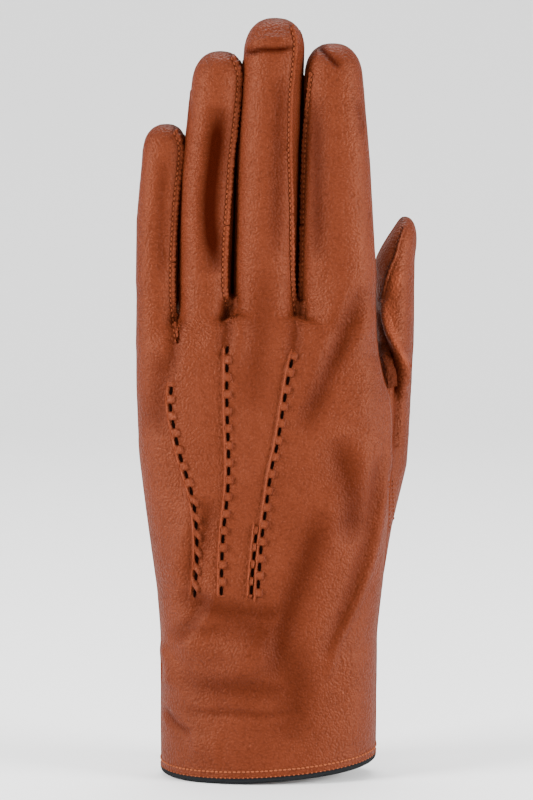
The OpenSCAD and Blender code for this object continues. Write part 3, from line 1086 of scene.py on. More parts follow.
        # Painted highlight on the thumb just past its rolled fold.
        roll = look(z, self.thumb_roll)
        lit = ease((x - roll) / 0.8) * ease((roll + 5.5 - x) / 2.5)
        lit = lit * ease((z - 131) / 6) * ease((168 - z) / 6)
        hollow = np.where(spots[:, 1] > self.thumb_front(z), hollow - 0.8 * lit * back, hollow)
        wave = rough(spots, 15.0, (0.8, 1, 1.5), 3.1)
        ripple = rough(spots, 5.5, (0.9, 1, 1.3), 7.7)
        move += 0.2 * wave + 0.06 * ripple * (0.4 + pucker)
        move += -0.22 * pucker * np.abs(rough(spots, 2.2, (1.5, 1, 0.8), 1.3))
        put(piece, spots + normals * move[:, None])
        mark(piece, "pucker", pucker)
        mark(piece, "hollow", hollow)

    def hem_height(self, x: Array | float, y: Array | float) -> Array:
        """Height of the cut edge of the leather."""
        return self.hem_lift + self.hem_slope[0] * x + self.hem_slope[1] * y

    def cut(self, piece: bpy.types.Object, top: float = 0.0) -> None:
        """Cuts the skin along the hem and across every finger, ready to part.

        Args:
            piece: the piece.
            top: how far over the hem.
        """
        heights = {f.root_cut for f in self.fingers} | {f.part_cut for f in self.fingers}
        heights |= {self.thumb_root, self.thumb_part}

        def work(bm: bmesh.types.BMesh) -> None:
            """Makes the cuts.

            Args:
                bm: the open mesh.
            """
            normal = (-self.hem_slope[0], -self.hem_slope[1], 1)
            everything = bm.verts[:] + bm.edges[:] + bm.faces[:]
            bmesh.ops.bisect_plane(bm, geom=everything, plane_co=(0, 0, top + self.hem_lift), plane_no=normal,
                                   clear_inner=True)
            for height in sorted(heights):
                everything = bm.verts[:] + bm.edges[:] + bm.faces[:]
                bmesh.ops.bisect_plane(bm, geom=everything, dist=1e-4, plane_co=(0, 0, height),
                                       plane_no=(0, 0, 1))
        with_mesh(piece, work)

    def faces_of(self, piece: bpy.types.Object) -> tuple[Array, Array]:
        """The owner and the height of the middle of each face.

        Args:
            piece: the piece.

        Returns:
            One owner and one height a face.
        """
        mesh = piece.data
        owner = np.zeros(len(mesh.vertices))
        mesh.attributes["owner"].data.foreach_get("value", owner)
        spots, _ = corners(piece)
        first = np.zeros(len(mesh.polygons), int)
        count = np.zeros(len(mesh.polygons), int)
        mesh.polygons.foreach_get("loop_start", first)
        mesh.polygons.foreach_get("loop_total", count)
        loops = np.zeros(len(mesh.loops), int)
        mesh.loops.foreach_get("vertex_index", loops)
        own = np.add.reduceat(owner[loops], first) / count
        height = np.add.reduceat(spots[loops][:, 2], first) / count
        return np.round(own), height

    def part(self, piece: bpy.types.Object, name: str, chosen: Array) -> bpy.types.Object:
        """A copy of the chosen faces as a piece of its own.

        Args:
            piece: the piece.
            name: the new piece's name.
            chosen: which faces it keeps.

        Returns:
            The new piece.
        """
        copy = bpy.data.objects.new(name, piece.data.copy())
        copy.data.name = name
        bpy.context.scene.collection.objects.link(copy)

        def work(bm: bmesh.types.BMesh) -> None:
            """Drops the other faces.

            Args:
                bm: the open mesh.
            """
            bm.faces.ensure_lookup_table()
            drop = [face for face, keep in zip(bm.faces, chosen) if not keep]
            bmesh.ops.delete(bm, geom=drop, context="FACES")
        with_mesh(copy, work)
        return copy

    def parts(self, piece: bpy.types.Object, kind: str) -> dict[str, bpy.types.Object]:
        """All the pieces of one layer.

        Args:
            piece: the cut skin.
            kind: what the layer is called in the pieces' names.

        Returns:
            The pieces by place: hand, and the lower and upper part of each finger and the thumb.
        """
        owner, height = self.faces_of(piece)
        made: dict[str, bpy.types.Object] = {}
        taken = np.zeros(len(owner), bool)
        spans = [(i, f.name, f.root_cut, f.part_cut) for i, f in enumerate(self.fingers)]
        spans.append((len(self.fingers), "thumb", self.thumb_root, self.thumb_part))
        for index, name, low, high in spans:
            for half, chosen in (("lower", (height > low) & (height < high)), ("upper", height > high)):
                mine = chosen & (owner == index)
                taken |= mine
                made[f"{name}_{half}"] = self.part(piece, f"{name}_{kind}_{half}", mine)
        made["hand"] = self.part(piece, f"hand_{kind}", ~taken)
        return made

    def tree(self, piece: bpy.types.Object, owner_is: int | None = None) -> BVHTree:
        """A search tree of the skin, or of one finger and the hand below it.

        Args:
            piece: the piece.
            owner_is: the finger by number, or none for the whole skin.

        Returns:
            The search tree.
        """
        spots, _ = corners(piece)
        owner, height = self.faces_of(piece)
        keep = np.ones(len(owner), bool) if owner_is is None else (owner == owner_is) & (height > 120)
        polygons = [tuple(p.vertices) for p, use in zip(piece.data.polygons, keep) if use]
        return BVHTree.FromPolygons([Vector(s) for s in spots], polygons)


def on_face(tree: BVHTree, x: float, z: float, face: Face = Face.BACK) -> tuple[Vector, Vector]:
    """The spot on the back or the palm of the glove at x and z, and the way out of the leather there.

    Args:
        tree: the search tree of the skin.
        x: the x.
        z: the height.
        face: the face of the glove.

    Returns:
        The spot and the outward direction.
    """
    spot, normal, _, _ = tree.ray_cast(Vector((x, 90 * face.value, z)), Vector((0, -face.value, 0)))
    if spot is None:
        spot, normal, _, _ = tree.find_nearest(Vector((x, 0, z)))
    return spot, normal


def round_side(tree: BVHTree, centre: Vector, angle: float) -> tuple[Vector, Vector]:
    """The spot on a tube's skin at an angle round its centre, and the way out there.

    Args:
        tree: the search tree of the skin.
        centre: the tube's middle at that height.
        angle: the angle round it, from the thumb side.

    Returns:
        The spot and the outward direction.
    """
    out = Vector((math.cos(angle), math.sin(angle), 0))
    spot, normal, _, _ = tree.ray_cast(centre + out * 60, -out)
    if spot is None or (spot - centre).dot(out) < 0:
        spot, normal, _, _ = tree.find_nearest(centre + out * 8)
    return spot, normal


def ribbon(name: str, tree: BVHTree, path: Path, width: tuple[float, float], cells: int, step: float,
           rise: Callable[[float, float], float],
           shade: Callable[[float, float], float] | None = None, face: Face = Face.BACK) -> bpy.types.Object:
    """A strip that lies on the back of the glove along a path.

    Args:
        name: the piece's name.
        tree: the skin it lies on.
        path: its line, as (x, z) corners.
        width: how far it reaches to each side of the line.
        cells: its cells across.
        step: the length of a cell.
        rise: its height over the leather, from the distance across and the distance along.
        shade: the painted light at that spot, from 1 for painted shade in a deep groove to -1 for a painted
            highlight on an edge.
        face: the face of the glove it lies on.

    Returns:
        The object, in millimetres.
    """
    line = drawn(path, step)
    tangent = np.gradient(line, axis=0)
    tangent /= np.linalg.norm(tangent, axis=1)[:, None]
    last = len(line) - 1
    painted_light_amount: list[float] = []

    def place(u: Array, v: Array) -> Array:
        """Puts each corner over the leather.

        Args:
            u: places across, from 0 to 1.
            v: places along, from 0 to 1.

        Returns:
            One position a place.
        """
        points = []
        for across, along in zip(u, v):
            i = int(round(along * last))
            off = width[0] + (width[1] - width[0]) * across
            painted_light_amount.append(shade(off, i * step) if shade else 0.0)
            x = line[i][0] + off * tangent[i][1]
            z = line[i][1] - off * tangent[i][0]
            spot, normal = on_face(tree, x, z, face)
            points.append(spot + normal * rise(off, i * step))
        return np.array(points)
    piece = sheet(name, cells, last, place)
    if face is Face.PALM:
        with_mesh(piece, lambda bm: bmesh.ops.reverse_faces(bm, faces=bm.faces))
    # Painted shade and painted highlight from the shade function, one value a corner.
    mark(piece, "hollow", np.array(painted_light_amount))
    return piece


def stitches(tree: BVHTree, path: Path, pitch: float, size: tuple[float, float, float], proud: float,
             face: Face = Face.BACK, shift: float = 0.0) -> list[Stitch]:
    """The stitches of one seam.

    Args:
        tree: the skin that they lie on.
        path: the seam's line, as (x, z) corners.
        pitch: the distance from one stitch to the next.
        size: length, width and height of a stitch.
        proud: how far their middles stand over the leather.
        face: the face of the glove they lie on.
        shift: how far they lie beside the line, along x.

    Returns:
        Position, direction, outward direction and size of each stitch.
    """
    line = drawn(path, pitch)
    rows = []
    for a, b in zip(line[:-1], line[1:]):
        x, z = (a + b) / 2
        spot, normal = on_face(tree, x + shift, z, face)
        rows.append((spot + normal * proud, Vector((b[0] - a[0], 0, b[1] - a[1])), normal, size))
    return rows


# ---- The sub-assemblies


@dataclass
class HandBack:
    """The hand: outer leather with the cuff, the feet of two slots and the three raised points."""

    tree: BVHTree
    dash_pitch: float = 5.7
    twist: float = 1.1
    twist_end: float = 38.0
    dash_size: tuple[float, float, float] = (3.6, 1.1, 0.5)
    dash_step: float = 0.25
    points: tuple[tuple[str, Path, float], ...] = (
        ("little_point", ((-25.3, 59), (-24.3, 71), (-24.7, 84), (-25.7, 92), (-27.7, 98.7), (-30.3, 106.3),
                          (-32.2, 115.7), (-33.5, 122.3), (-32.7, 130.2)), 1.0),
        ("middle_point", ((-16.3, 59), (-16, 78), (-14.3, 91.3), (-13.7, 101), (-14, 111), (-14.5, 124.3),
                          (-14.3, 142.3)), 2.2),
        ("index_point", ((-4.1, 57.3), (-4, 63.3), (-3.1, 75.3), (-2.6, 80.7), (-1.3, 89.7), (0.3, 102),
                         (2.3, 109), (4.3, 122.3), (6.3, 134), (8, 141)), 0.4),
        ("index_point_second", ((-6.4, 58.5), (-6.1, 66), (-5.5, 71.7), (-5.0, 77), (-4.3, 84)), 3.0),
    )

    webs: tuple[tuple[str, float, float, float], ...] = (
        ("ring_middle_web", -12.5, 149.5, 159.0), ("middle_index_web", 10.1, 148.5, 158.0))
    web_reach: float = 2.2

    def web(self, name: str, middle: float, low: float, high: float) -> None:
        """The gathered leather that closes the foot of the slot between two fingers.

        Args:
            name: the piece's name.
            middle: the slot's x.
            low: where it leaves the hand.
            high: its top edge, in the middle of the slot.
        """
        reach = self.web_reach

        def place(u: Array, v: Array) -> Array:
            """Spans the slot from finger to finger, and turns over into it at the top.

            Args:
                u: places across, from 0 to 1.
                v: places along, from 0 to 1.

            Returns:
                One position a place.
            """
            points = []
            for across, along in zip(u, v):
                x = middle + (2 * across - 1) * reach
                z = low + (high + 2.8 * (2 * across - 1) ** 2 - low) * along
                left, _ = on_face(self.tree, middle - reach, z)
                right, _ = on_face(self.tree, middle + reach, z)
                under, _ = on_face(self.tree, x, z)
                span = left.y + (right.y - left.y) * across
                bow = math.sin(math.pi * across)
                gather = 0.22 * bow * noise.noise(Vector((x * 0.9, 0, z * 0.35)))
                span += (0.1 + 0.5 * along) * bow ** 2 + gather
                t = float(ease(along / 0.35))
                y = under.y * (1 - t) + span * t
                y += 0.6 * float(1 - ease(min(across, 1 - across) / 0.25))
                y += 0.5 * float(1 - ease(along / 0.14)) - 0.14
                y += 2.4 * float(ease((along - 0.72) / 0.28)) ** 2
                points.append((x, y, z))
            return np.array(points)
        piece = sheet(name, 22, 26, place)
        spots, normals = corners(piece)
        if normals[:, 1].sum() > 0:
            with_mesh(piece, lambda bm: bmesh.ops.reverse_faces(bm, faces=bm.faces))
        # Painted shade along the web's middle crease and where its top turns into the slot.
        rim = ease((spots[:, 2] - high + 1.8) / 1.8)
        crease = np.exp(-(((spots[:, 0] - middle) / 0.6) ** 2))
        mark(piece, "hollow", 0.4 * crease + 0.7 * rim)
        mark(piece, "pucker", np.ones(len(spots)))
        thicken(piece, 0.5)
        settle(piece, Finish.OUTER, "hand")

    def beat(self, off: float, along: float, phase: float) -> float:
        """How far the leather swells between two dashes: 0 at a dash and 1 between them.

        Args:
            off: the distance across the line.
            along: the distance along the line.
            phase: where the first dash falls.

        Returns:
            The swelling, from 0 to 1.
        """
        lean = self.twist * off * float(ease((self.twist_end - along) / 6)) if phase == 1.0 else 0.0
        turn = math.cos(2 * math.pi * (along + lean - phase) / self.dash_pitch)
        return float(ease(0.5 - 1.0 * turn))

    def crest(self, phase: float, reach: float) -> Callable[[float, float], float]:
        """The cross-section of a point: a thin rolled edge, with scallops beside it between the dashes.

        Args:
            phase: where the first dash falls.
            reach: how far the scallops reach.

        Returns:
            The height at a distance across and along.
        """
        def rise(off: float, along: float) -> float:
            """Height over the leather.

            Args:
                off: the distance across the line.
                along: the distance along the line.

            Returns:
                The height, in millimetres.
            """
            full = self.beat(off, along, phase)
            wave = 0.12 * noise.noise(Vector((along * 0.5, 0, phase)))
            left = 0.95 * math.exp(-(((off + 1.05 + wave) / 0.42) ** 2))
            end = 0.45 + reach * full
            scallop = 1.05 * full ** 0.7 * float(ease((off + 1.0) / 0.5) * ease((end - off) / 0.55))
            hole = 0.55 * (1 - full) * math.exp(-(((off - 0.05) / 0.5) ** 2))
            edge = 0.9 * float(ease((-off - 1.8) / 0.5) + ease((off - 2.0) / 0.5))
            wobble = 0.16 * noise.noise(Vector((along * 0.6, off * 0.9, phase)))
            return max(left, scallop) - hole - edge + wobble
        return rise

    def point_painted_light(self, phase: float, reach: float) -> Callable[[float, float], float]:
        """Where a point gets painted shade and where it gets a painted highlight.

        Args:
            phase: where the first dash falls.
            reach: how far the scallops reach.

        Returns:
            The painted shade at a distance across and along, negative for a painted highlight.
        """
        def shade(off: float, along: float) -> float:
            """Painted shade from -1 to 1, with a painted highlight below 0.

            Args:
                off: the distance across the line.
                along: the distance along the line.

            Returns:
                The painted shade.
            """
            full = self.beat(off, along, phase)
            # Painted shade in the dash slots, beside the scallops and at the foot of the rolled edge; painted
            # highlight on the rolled edge and the scallops.
            hole = 0.95 * (1 - full) ** 1.5 * math.exp(-(((off - 0.05) / 0.55) ** 2))
            side = 0.55 * full * math.exp(-(((off - 0.55 - reach * full) / 0.22) ** 2))
            light_tone_and_highlight = 0.8 * math.exp(-(((off + 1.05) / 0.36) ** 2))
            light_tone_and_highlight += 0.3 * full * math.exp(-(((off - 0.4) / 0.5) ** 2))
            foot = 0.35 * math.exp(-(((off + 1.6) / 0.2) ** 2))
            return max(-1.0, min(1.0, hole + side + foot - light_tone_and_highlight))
        return shade

    def build(self, leather: bpy.types.Object) -> None:
        """Finishes the hand's leather and makes its points.

        Args:
            leather: the leather.
        """
        thicken(leather, LEATHER)
        settle(leather, Finish.OUTER, WRIST, ("hand_leather", "cuff_leather"))
        for web in self.webs:
            self.web(*web)
        for name, path, phase in self.points:
            second = name.endswith("_second")
            reach, width = (0.35, (-2.2, 1.2)) if second else (1.3, (-2.3, 2.5))
            # Each point's ridge gets painted shade in its dash slots, beside its scallops and at its outer
            # foot, and a painted highlight on its rolled edge.
            ridge = ribbon(name + "_leather", self.tree, path, width, 14 if second else 23, 0.42,
                           self.crest(phase, reach), self.point_painted_light(phase, reach))
            low, high = path[0][1], path[-1][1]
            spots, _ = corners(ridge)
            ends = ease(np.minimum(spots[:, 2] - low, high - spots[:, 2]) / 1.2)
            spots[:, 1] += 0.9 * (1 - ends)
            put(ridge, spots)
            thicken(ridge, 0.35)
            settle(ridge, Finish.OUTER, "hand", () if second else (name,))
            self.dashes(name, path, phase, () if second else (name + "_stitches",))

    def dashes(self, name: str, path: Path, phase: float, nodes: Sequence[str]) -> None:
        """The dark stitches down the groove of one point.

        Args:
            name: the point's name.
            path: its line, as (x, z) corners.
            phase: where the first dash falls.
            nodes: the CAD nodes it stands for.
        """
        line = drawn(path, self.dash_step)
        rows = []
        at = phase if phase > 0.5 else phase + self.dash_pitch
        while at < self.dash_step * (len(line) - 1) - 0.6:
            i = int(at / self.dash_step)
            a, b = line[max(0, i - 3)], line[min(len(line) - 1, i + 3)]
            along = Vector((b[0] - a[0], 0, b[1] - a[1])).normalized()
            spot, normal = on_face(self.tree, line[i][0] + 0.1, line[i][1])
            rows.append((spot + normal * 0.1, along, normal, self.dash_size))
            at += self.dash_pitch
        settle(beads(name + "_thread", rows), Finish.POINT, "hand", nodes)


@dataclass
class Stall:
    """One finger: its leather, side strips and raised seams, in a lower and an upper part."""

    finger: Finger
    index: int
    trees: Sequence[BVHTree]
    pitch: float = 1.7
    stitch: tuple[float, float, float] = (1.2, 0.58, 0.5)
    palm_inset: float = 1.3

    @property
    def tree(self) -> BVHTree:
        """The search tree of this finger's skin."""
        return self.trees[self.index]

    def bend(self, half: str) -> Bend:
        """The fold that the lower or the upper part crosses.

        Args:
            half: lower or upper.

        Returns:
            The fold.
        """
        name = self.finger.name
        if half == "lower":
            fold, reach = FOLD_AT[name + "_knuckle"], self.finger.reach[0]
            return Bend("hand", name + "_lower", max(fold - reach, self.finger.root_cut + 0.2), fold + reach)
        fold, reach = FOLD_AT[name + "_middle_fold"], self.finger.reach[1]
        return Bend(name + "_lower", name + "_upper", fold - reach, fold + reach)

    def build(self, leathers: dict[str, bpy.types.Object]) -> None:
        """Finishes the finger's leather and sews in its strips.

        Args:
            leathers: the leather pieces by place.
        """
        name = self.finger.name
        for half in ("lower", "upper"):
            leather = leathers[f"{name}_{half}"]
            thicken(leather, LEATHER)
            settle(leather, Finish.OUTER, self.bend(half), (f"{name}_leather_{half}",))
        for strip in self.finger.strips:
            for half, low, high in (("lower", self.finger.root_cut - 5.5, self.finger.part_cut),
                                    ("upper", self.finger.part_cut, strip.seam[-1][1] - 1)):
                self.side_strip(strip, half, low, high)
                if strip.show:
                    self.seam(strip, half, Face.BACK)
                self.seam(strip, half, Face.PALM)

    def back_angle(self, strip: SideStrip, z: float) -> float:
        """The angle round the finger at which a strip's back seam lies.

        Args:
            strip: the strip.
            z: the height.

        Returns:
            The angle.
        """
        x = float(np.interp(z, [p[1] for p in strip.seam], [p[0] for p in strip.seam]))
        share = (x - float(self.finger.centre(z))) / float(self.finger.width(z))
        return -math.acos(max(-0.995, min(0.995, share)))

    def meet(self, strip: SideStrip, z: float) -> tuple[float, float]:
        """The x at which this strip meets the next finger's, and how much it reaches for it there.

        Args:
            strip: the strip.
            z: the height.

        Returns:
            The x and the share.
        """
        finger, step = self.finger, 1 if strip.side is Side.THUMB else -1
        other = FINGERS[self.index + step]
        toward = strip.side.value
        mine, _ = round_side(self.tree, Vector((float(finger.centre(z)), 2.0, z)), toward)
        beside = Vector((float(other.centre(z)), 2.0, z))
        theirs, _ = round_side(self.trees[self.index + step], beside, math.pi - toward)
        tip = min(finger.folds[2], other.folds[2]) - 4
        held = ease((tip - z) / 7) if abs(theirs.x - mine.x) < 4 else 0.0
        return (mine.x + theirs.x) / 2, float(held)

    def side_strip(self, strip: SideStrip, half: str, low: float, high: float) -> None:
        """One part of a strip between the seams, with the fine ripples of gathered leather.

        Args:
            strip: the strip.
            half: lower or upper.
            low: its lower end.
            high: its upper end.
        """
        finger = self.finger
        turned = strip.side is Side.OUTER
        step = -1 if turned else 1
        rows = max(6, int((high - low) / 1.4))
        foot = low
        while half == "lower" and foot < low + 16 and self.meet(strip, foot)[1] == 0:
            foot += 0.7
        meets = [self.meet(strip, max(foot, low + (high - low) * i / rows)) for i in range(rows + 1)]
        top = strip.seam[-1][1] - 1

        def place(u: Array, v: Array) -> Array:
            """Puts each corner a little over the finger's skin.

            Args:
                u: places across, from 0 to 1.
                v: places along, from 0 to 1.

            Returns:
                One position a place.
            """
            points = []
            for across, along in zip(u, v):
                height = low + (high - low) * along
                z = max(foot, height)
                back = self.back_angle(strip, z)
                shown = abs(back) if not turned else math.pi - abs(back)
                shown = max(shown, math.radians(12)) * float(1 - 0.8 * ease((z - top + 11) / 11))
                angle = (across * 2 - 1) * shown
                if turned:
                    angle = math.pi - angle
                centre = Vector((float(finger.centre(z)), float(finger.forward(z)), z))
                spot, normal = round_side(self.tree, centre, angle)
                ripple = 0.1 * math.sin(across * 26 + 1.5 * noise.noise(Vector((z * 0.1, 0, self.index))))
                edge = min(across, 1 - across) * 14
                point = spot + normal * (0.16 + ripple - 0.3 * (1 - min(edge, 1)))
                meet, held = meets[min(rows, int(round(along * rows)))]
                core = held * float(ease((across - 0.46) / 0.12) * ease((0.96 - across) / 0.16))
                point.x += core * max(0.0, (meet - point.x) * step + 0.1) * step
                point.z += height - z
                points.append(point)
            return np.array(points)
        piece = sheet(f"{finger.name}_side_strip_{strip.label}_{half}", 24, rows, place)
        with_mesh(piece, lambda bm: bmesh.ops.recalc_face_normals(bm, faces=bm.faces))
        self.face_out(piece)
        spots, _ = corners(piece)
        z = spots[:, 2]
        beside = FINGERS[self.index + step].folds[2]
        # Painted shade down the middle of the strip, deep in the gap between the fingers, strongest below the
        # next finger's tip.
        middle = np.exp(-(((spots[:, 1] - finger.forward(z) - 1.5) / 4.5) ** 2))
        mark(piece, "hollow", 0.9 * middle * (0.15 + 0.85 * ease((beside - 3 - z) / 8)))
        mark(piece, "pucker", np.full(len(spots), 0.35))
        thicken(piece, 0.5)
        settle(piece, Finish.GUSSET, self.bend(half), (f"{finger.name}_fourchette_{strip.label}_{half}",))

    def face_out(self, piece: bpy.types.Object) -> None:
        """Turns a strip's faces away from the finger's middle line.

        Args:
            piece: the piece.
        """
        spots, normals = corners(piece)
        z = spots[:, 2]
        out = np.column_stack([spots[:, 0] - self.finger.centre(z), spots[:, 1] - self.finger.forward(z),
                               0 * z])
        if (out * normals).sum() < 0:
            with_mesh(piece, lambda bm: bmesh.ops.reverse_faces(bm, faces=bm.faces))

    def seam(self, strip: SideStrip, half: str, face: Face) -> None:
        """The lumpy lip beside a seam and the stitches along it, for one part of the finger.

        Args:
            strip: the strip.
            half: lower or upper.
            face: the face of the glove.
        """
        finger = self.finger
        cut = finger.part_cut
        line = drawn(strip.seam, 0.4)
        chosen = line[line[:, 1] <= cut] if half == "lower" else line[line[:, 1] >= cut]
        if len(chosen) < 4:
            return
        path = [tuple(p) for p in chosen[:: max(1, len(chosen) // 24)]] + [tuple(chosen[-1])]
        toward = 1.0 if strip.side is Side.THUMB else -1.0
        back = face is Face.BACK
        label = half if back else f"palm_{strip.label}_{half}"
        if not back:
            path = [(x - self.palm_inset * toward, z) for x, z in path]

        def rise(off: float, along: float) -> float:
            """Height over the leather.

            Args:
                off: the distance across the line.
                along: the distance along the line.

            Returns:
                The height, in millimetres.
            """
            beat = 0.5 - 0.5 * math.cos(2 * math.pi * along / self.pitch)
            lump = 0.75 + 0.35 * noise.noise(Vector((along * 0.6, 0, self.index * 3.7)))
            crest = math.exp(-(((off * toward - 0.55 * strip.lip) / (0.42 * strip.lip)) ** 2))
            edge = 0.8 * ease((abs(off * toward - 0.5 * strip.lip) - 0.55 * strip.lip) / 0.35)
            return float((lump + 0.42 * beat) * crest * (1 if back else 0.6) - edge)
        width = (-0.35, strip.lip + 0.35) if toward > 0 else (-strip.lip - 0.35, 0.35)
        step = 0.42 if back else 0.7
        lip = ribbon(f"{finger.name}_seam_lip_{label}", self.tree, path, width, 8, step, rise, face=face)
        spots, _ = corners(lip)
        gap, _, _ = away(spots[:, 0], spots[:, 2], path)
        # Painted shade in the seam's groove and a painted highlight on the lip beside it.
        mark(lip, "hollow", 0.85 * np.exp(-((gap / 0.4) ** 2)) - 0.3 * ease((gap - 0.4) / 0.4))
        mark(lip, "pucker", np.full(len(spots), 0.6))
        thicken(lip, LIP)
        settle(lip, Finish.OUTER, self.bend(half))
        rows = stitches(self.tree, path, self.pitch, self.stitch, 0.3, face)
        settle(beads(f"{finger.name}_seam_stitches_{label}", rows), Finish.SEAM, self.bend(half),
               (f"{finger.name}_seam_{half}",) if back else ())


@dataclass
class Thumb:
    """The thumb: its two leather parts, the small gusset at its crotch and its curved seam."""

    skin: Skin
    tree: BVHTree
    whole: BVHTree
    seam: Path = ((37.3, 155), (38.6, 161), (40.4, 167), (42.3, 170.5), (43.6, 176), (45.4, 180.3))
    pitch: float = 1.6
    reach: float = 9.0

    def bend(self, half: str) -> Bend:
        """The fold that the lower or the upper part crosses.

        Args:
            half: lower or upper.

        Returns:
            The fold.
        """
        if half == "lower":
            return Bend("hand", "thumb_lower", self.skin.thumb_root + 0.2, FOLD_AT["thumb_base_fold"] + 8)
        fold = FOLD_AT["thumb_upper_fold"]
        return Bend("thumb_lower", "thumb_upper", fold - self.reach, fold + self.reach)

    def build(self, leathers: dict[str, bpy.types.Object]) -> None:
        """Finishes the thumb's leather and sews its gusset and seam.

        Args:
            leathers: the leather pieces by place.
        """
        for half in ("lower", "upper"):
            leather = leathers[f"thumb_{half}"]
            thicken(leather, LEATHER)
            settle(leather, Finish.OUTER, self.bend(half), (f"thumb_leather_{half}",))
        self.gusset()
        self.seam_line()
        self.base_stitches()

    def base_stitches(self) -> None:
        """Two short rows of stitches where the thumb is set into the hand."""
        rows = []
        for path in (((40.6, 78), (40.2, 86), (39.9, 96)), ((42.0, 82), (41.7, 89), (41.5, 95))):
            for x, z in drawn(path, 1.5):
                spot, normal = on_face(self.whole, x, z)
                rows.append((spot + normal * 0.12, Vector((0.4, 0, 1)), normal, (1.0, 0.42, 0.4)))
        path = ((40.5, 97), (37.5, 84), (31, 75.5), (23.5, 76), (19, 86), (19.5, 100), (25, 112), (32, 119))

        def rise(off: float, along: float) -> float:
            """Height over the palm.

            Args:
                off: the distance across the line.
                along: the distance along the line.

            Returns:
                The height, in millimetres.
            """
            lump = 0.15 * noise.noise(Vector((along * 0.6, 0, 5.0)))
            edge = 0.8 * ease((abs(off - 0.5) - 0.9) / 0.35)
            return float((0.6 + lump) * math.exp(-(((off - 0.6) / 0.5) ** 2)) - edge)
        lip = ribbon("thumb_base_lip", self.whole, path, (-0.8, 1.8), 8, 0.6, rise, face=Face.PALM)
        thicken(lip, LIP)
        settle(lip, Finish.OUTER, "hand")
        rows += stitches(self.whole, path, 1.7, (1.1, 0.5, 0.45), 0.15, Face.PALM)
        settle(beads("thumb_base_stitches", rows), Finish.SEAM, "hand")

    def gusset(self) -> None:
        """The small wrinkled gusset with its raw edge."""
        path = ((41.6, 126.5), (41, 131), (39.8, 136), (38.2, 141))

        def rise(off: float, along: float) -> float:
            """Height over the leather.

            Args:
                off: the distance across the line.
                along: the distance along the line.

            Returns:
                The height, in millimetres.
            """
            lump = 0.35 * noise.noise(Vector((along * 0.5, off * 0.9, 2.0)))
            edge = 0.9 * ease((abs(off) - 1.5) / 0.6)
            return float(0.35 + lump - edge + 0.5 * math.exp(-(((off - 1.3) / 0.3) ** 2)))
        piece = ribbon("thumb_gusset_leather", self.tree, path, (-1.9, 1.9), 12, 0.5, rise)
        spots, _ = corners(piece)
        # Painted shade over the whole gusset, which sits in the crease at the thumb's crotch.
        mark(piece, "hollow", np.full(len(spots), 0.35))
        mark(piece, "pucker", np.ones(len(spots)))
        thicken(piece, 0.35)
        settle(piece, Finish.GUSSET, self.bend("lower"), ("thumb_gusset",))

    def seam_line(self) -> None:
        """The curved seam up the back of the thumb."""
        path = self.seam

        def rise(off: float, along: float) -> float:
            """Height over the leather.

            Args:
                off: the distance across the line.
                along: the distance along the line.

            Returns:
                The height, in millimetres.
            """
            lump = 0.1 * noise.noise(Vector((along * 0.7, 0, 9.0)))
            edge = 0.8 * ease((abs(off - 0.4) - 0.75) / 0.4)
            return float((0.5 + lump) * math.exp(-(((off - 0.5) / 0.55) ** 2)) - edge)
        lip = ribbon("thumb_seam_lip", self.tree, path, (-0.8, 1.6), 8, 0.5, rise)
        spots, _ = corners(lip)
        # Painted shade along the seam's line.
        mark(lip, "hollow", 0.4 * np.exp(-((away(spots[:, 0], spots[:, 2], path)[0] / 0.4) ** 2)))
        thicken(lip, LIP)
        settle(lip, Finish.OUTER, self.bend("upper"))
        rows = stitches(self.tree, path, self.pitch, (1.0, 0.4, 0.3), 0.1, shift=-0.35)
        settle(beads("thumb_seam_stitches", rows), Finish.SEAM, self.bend("upper"), ("thumb_seam",))


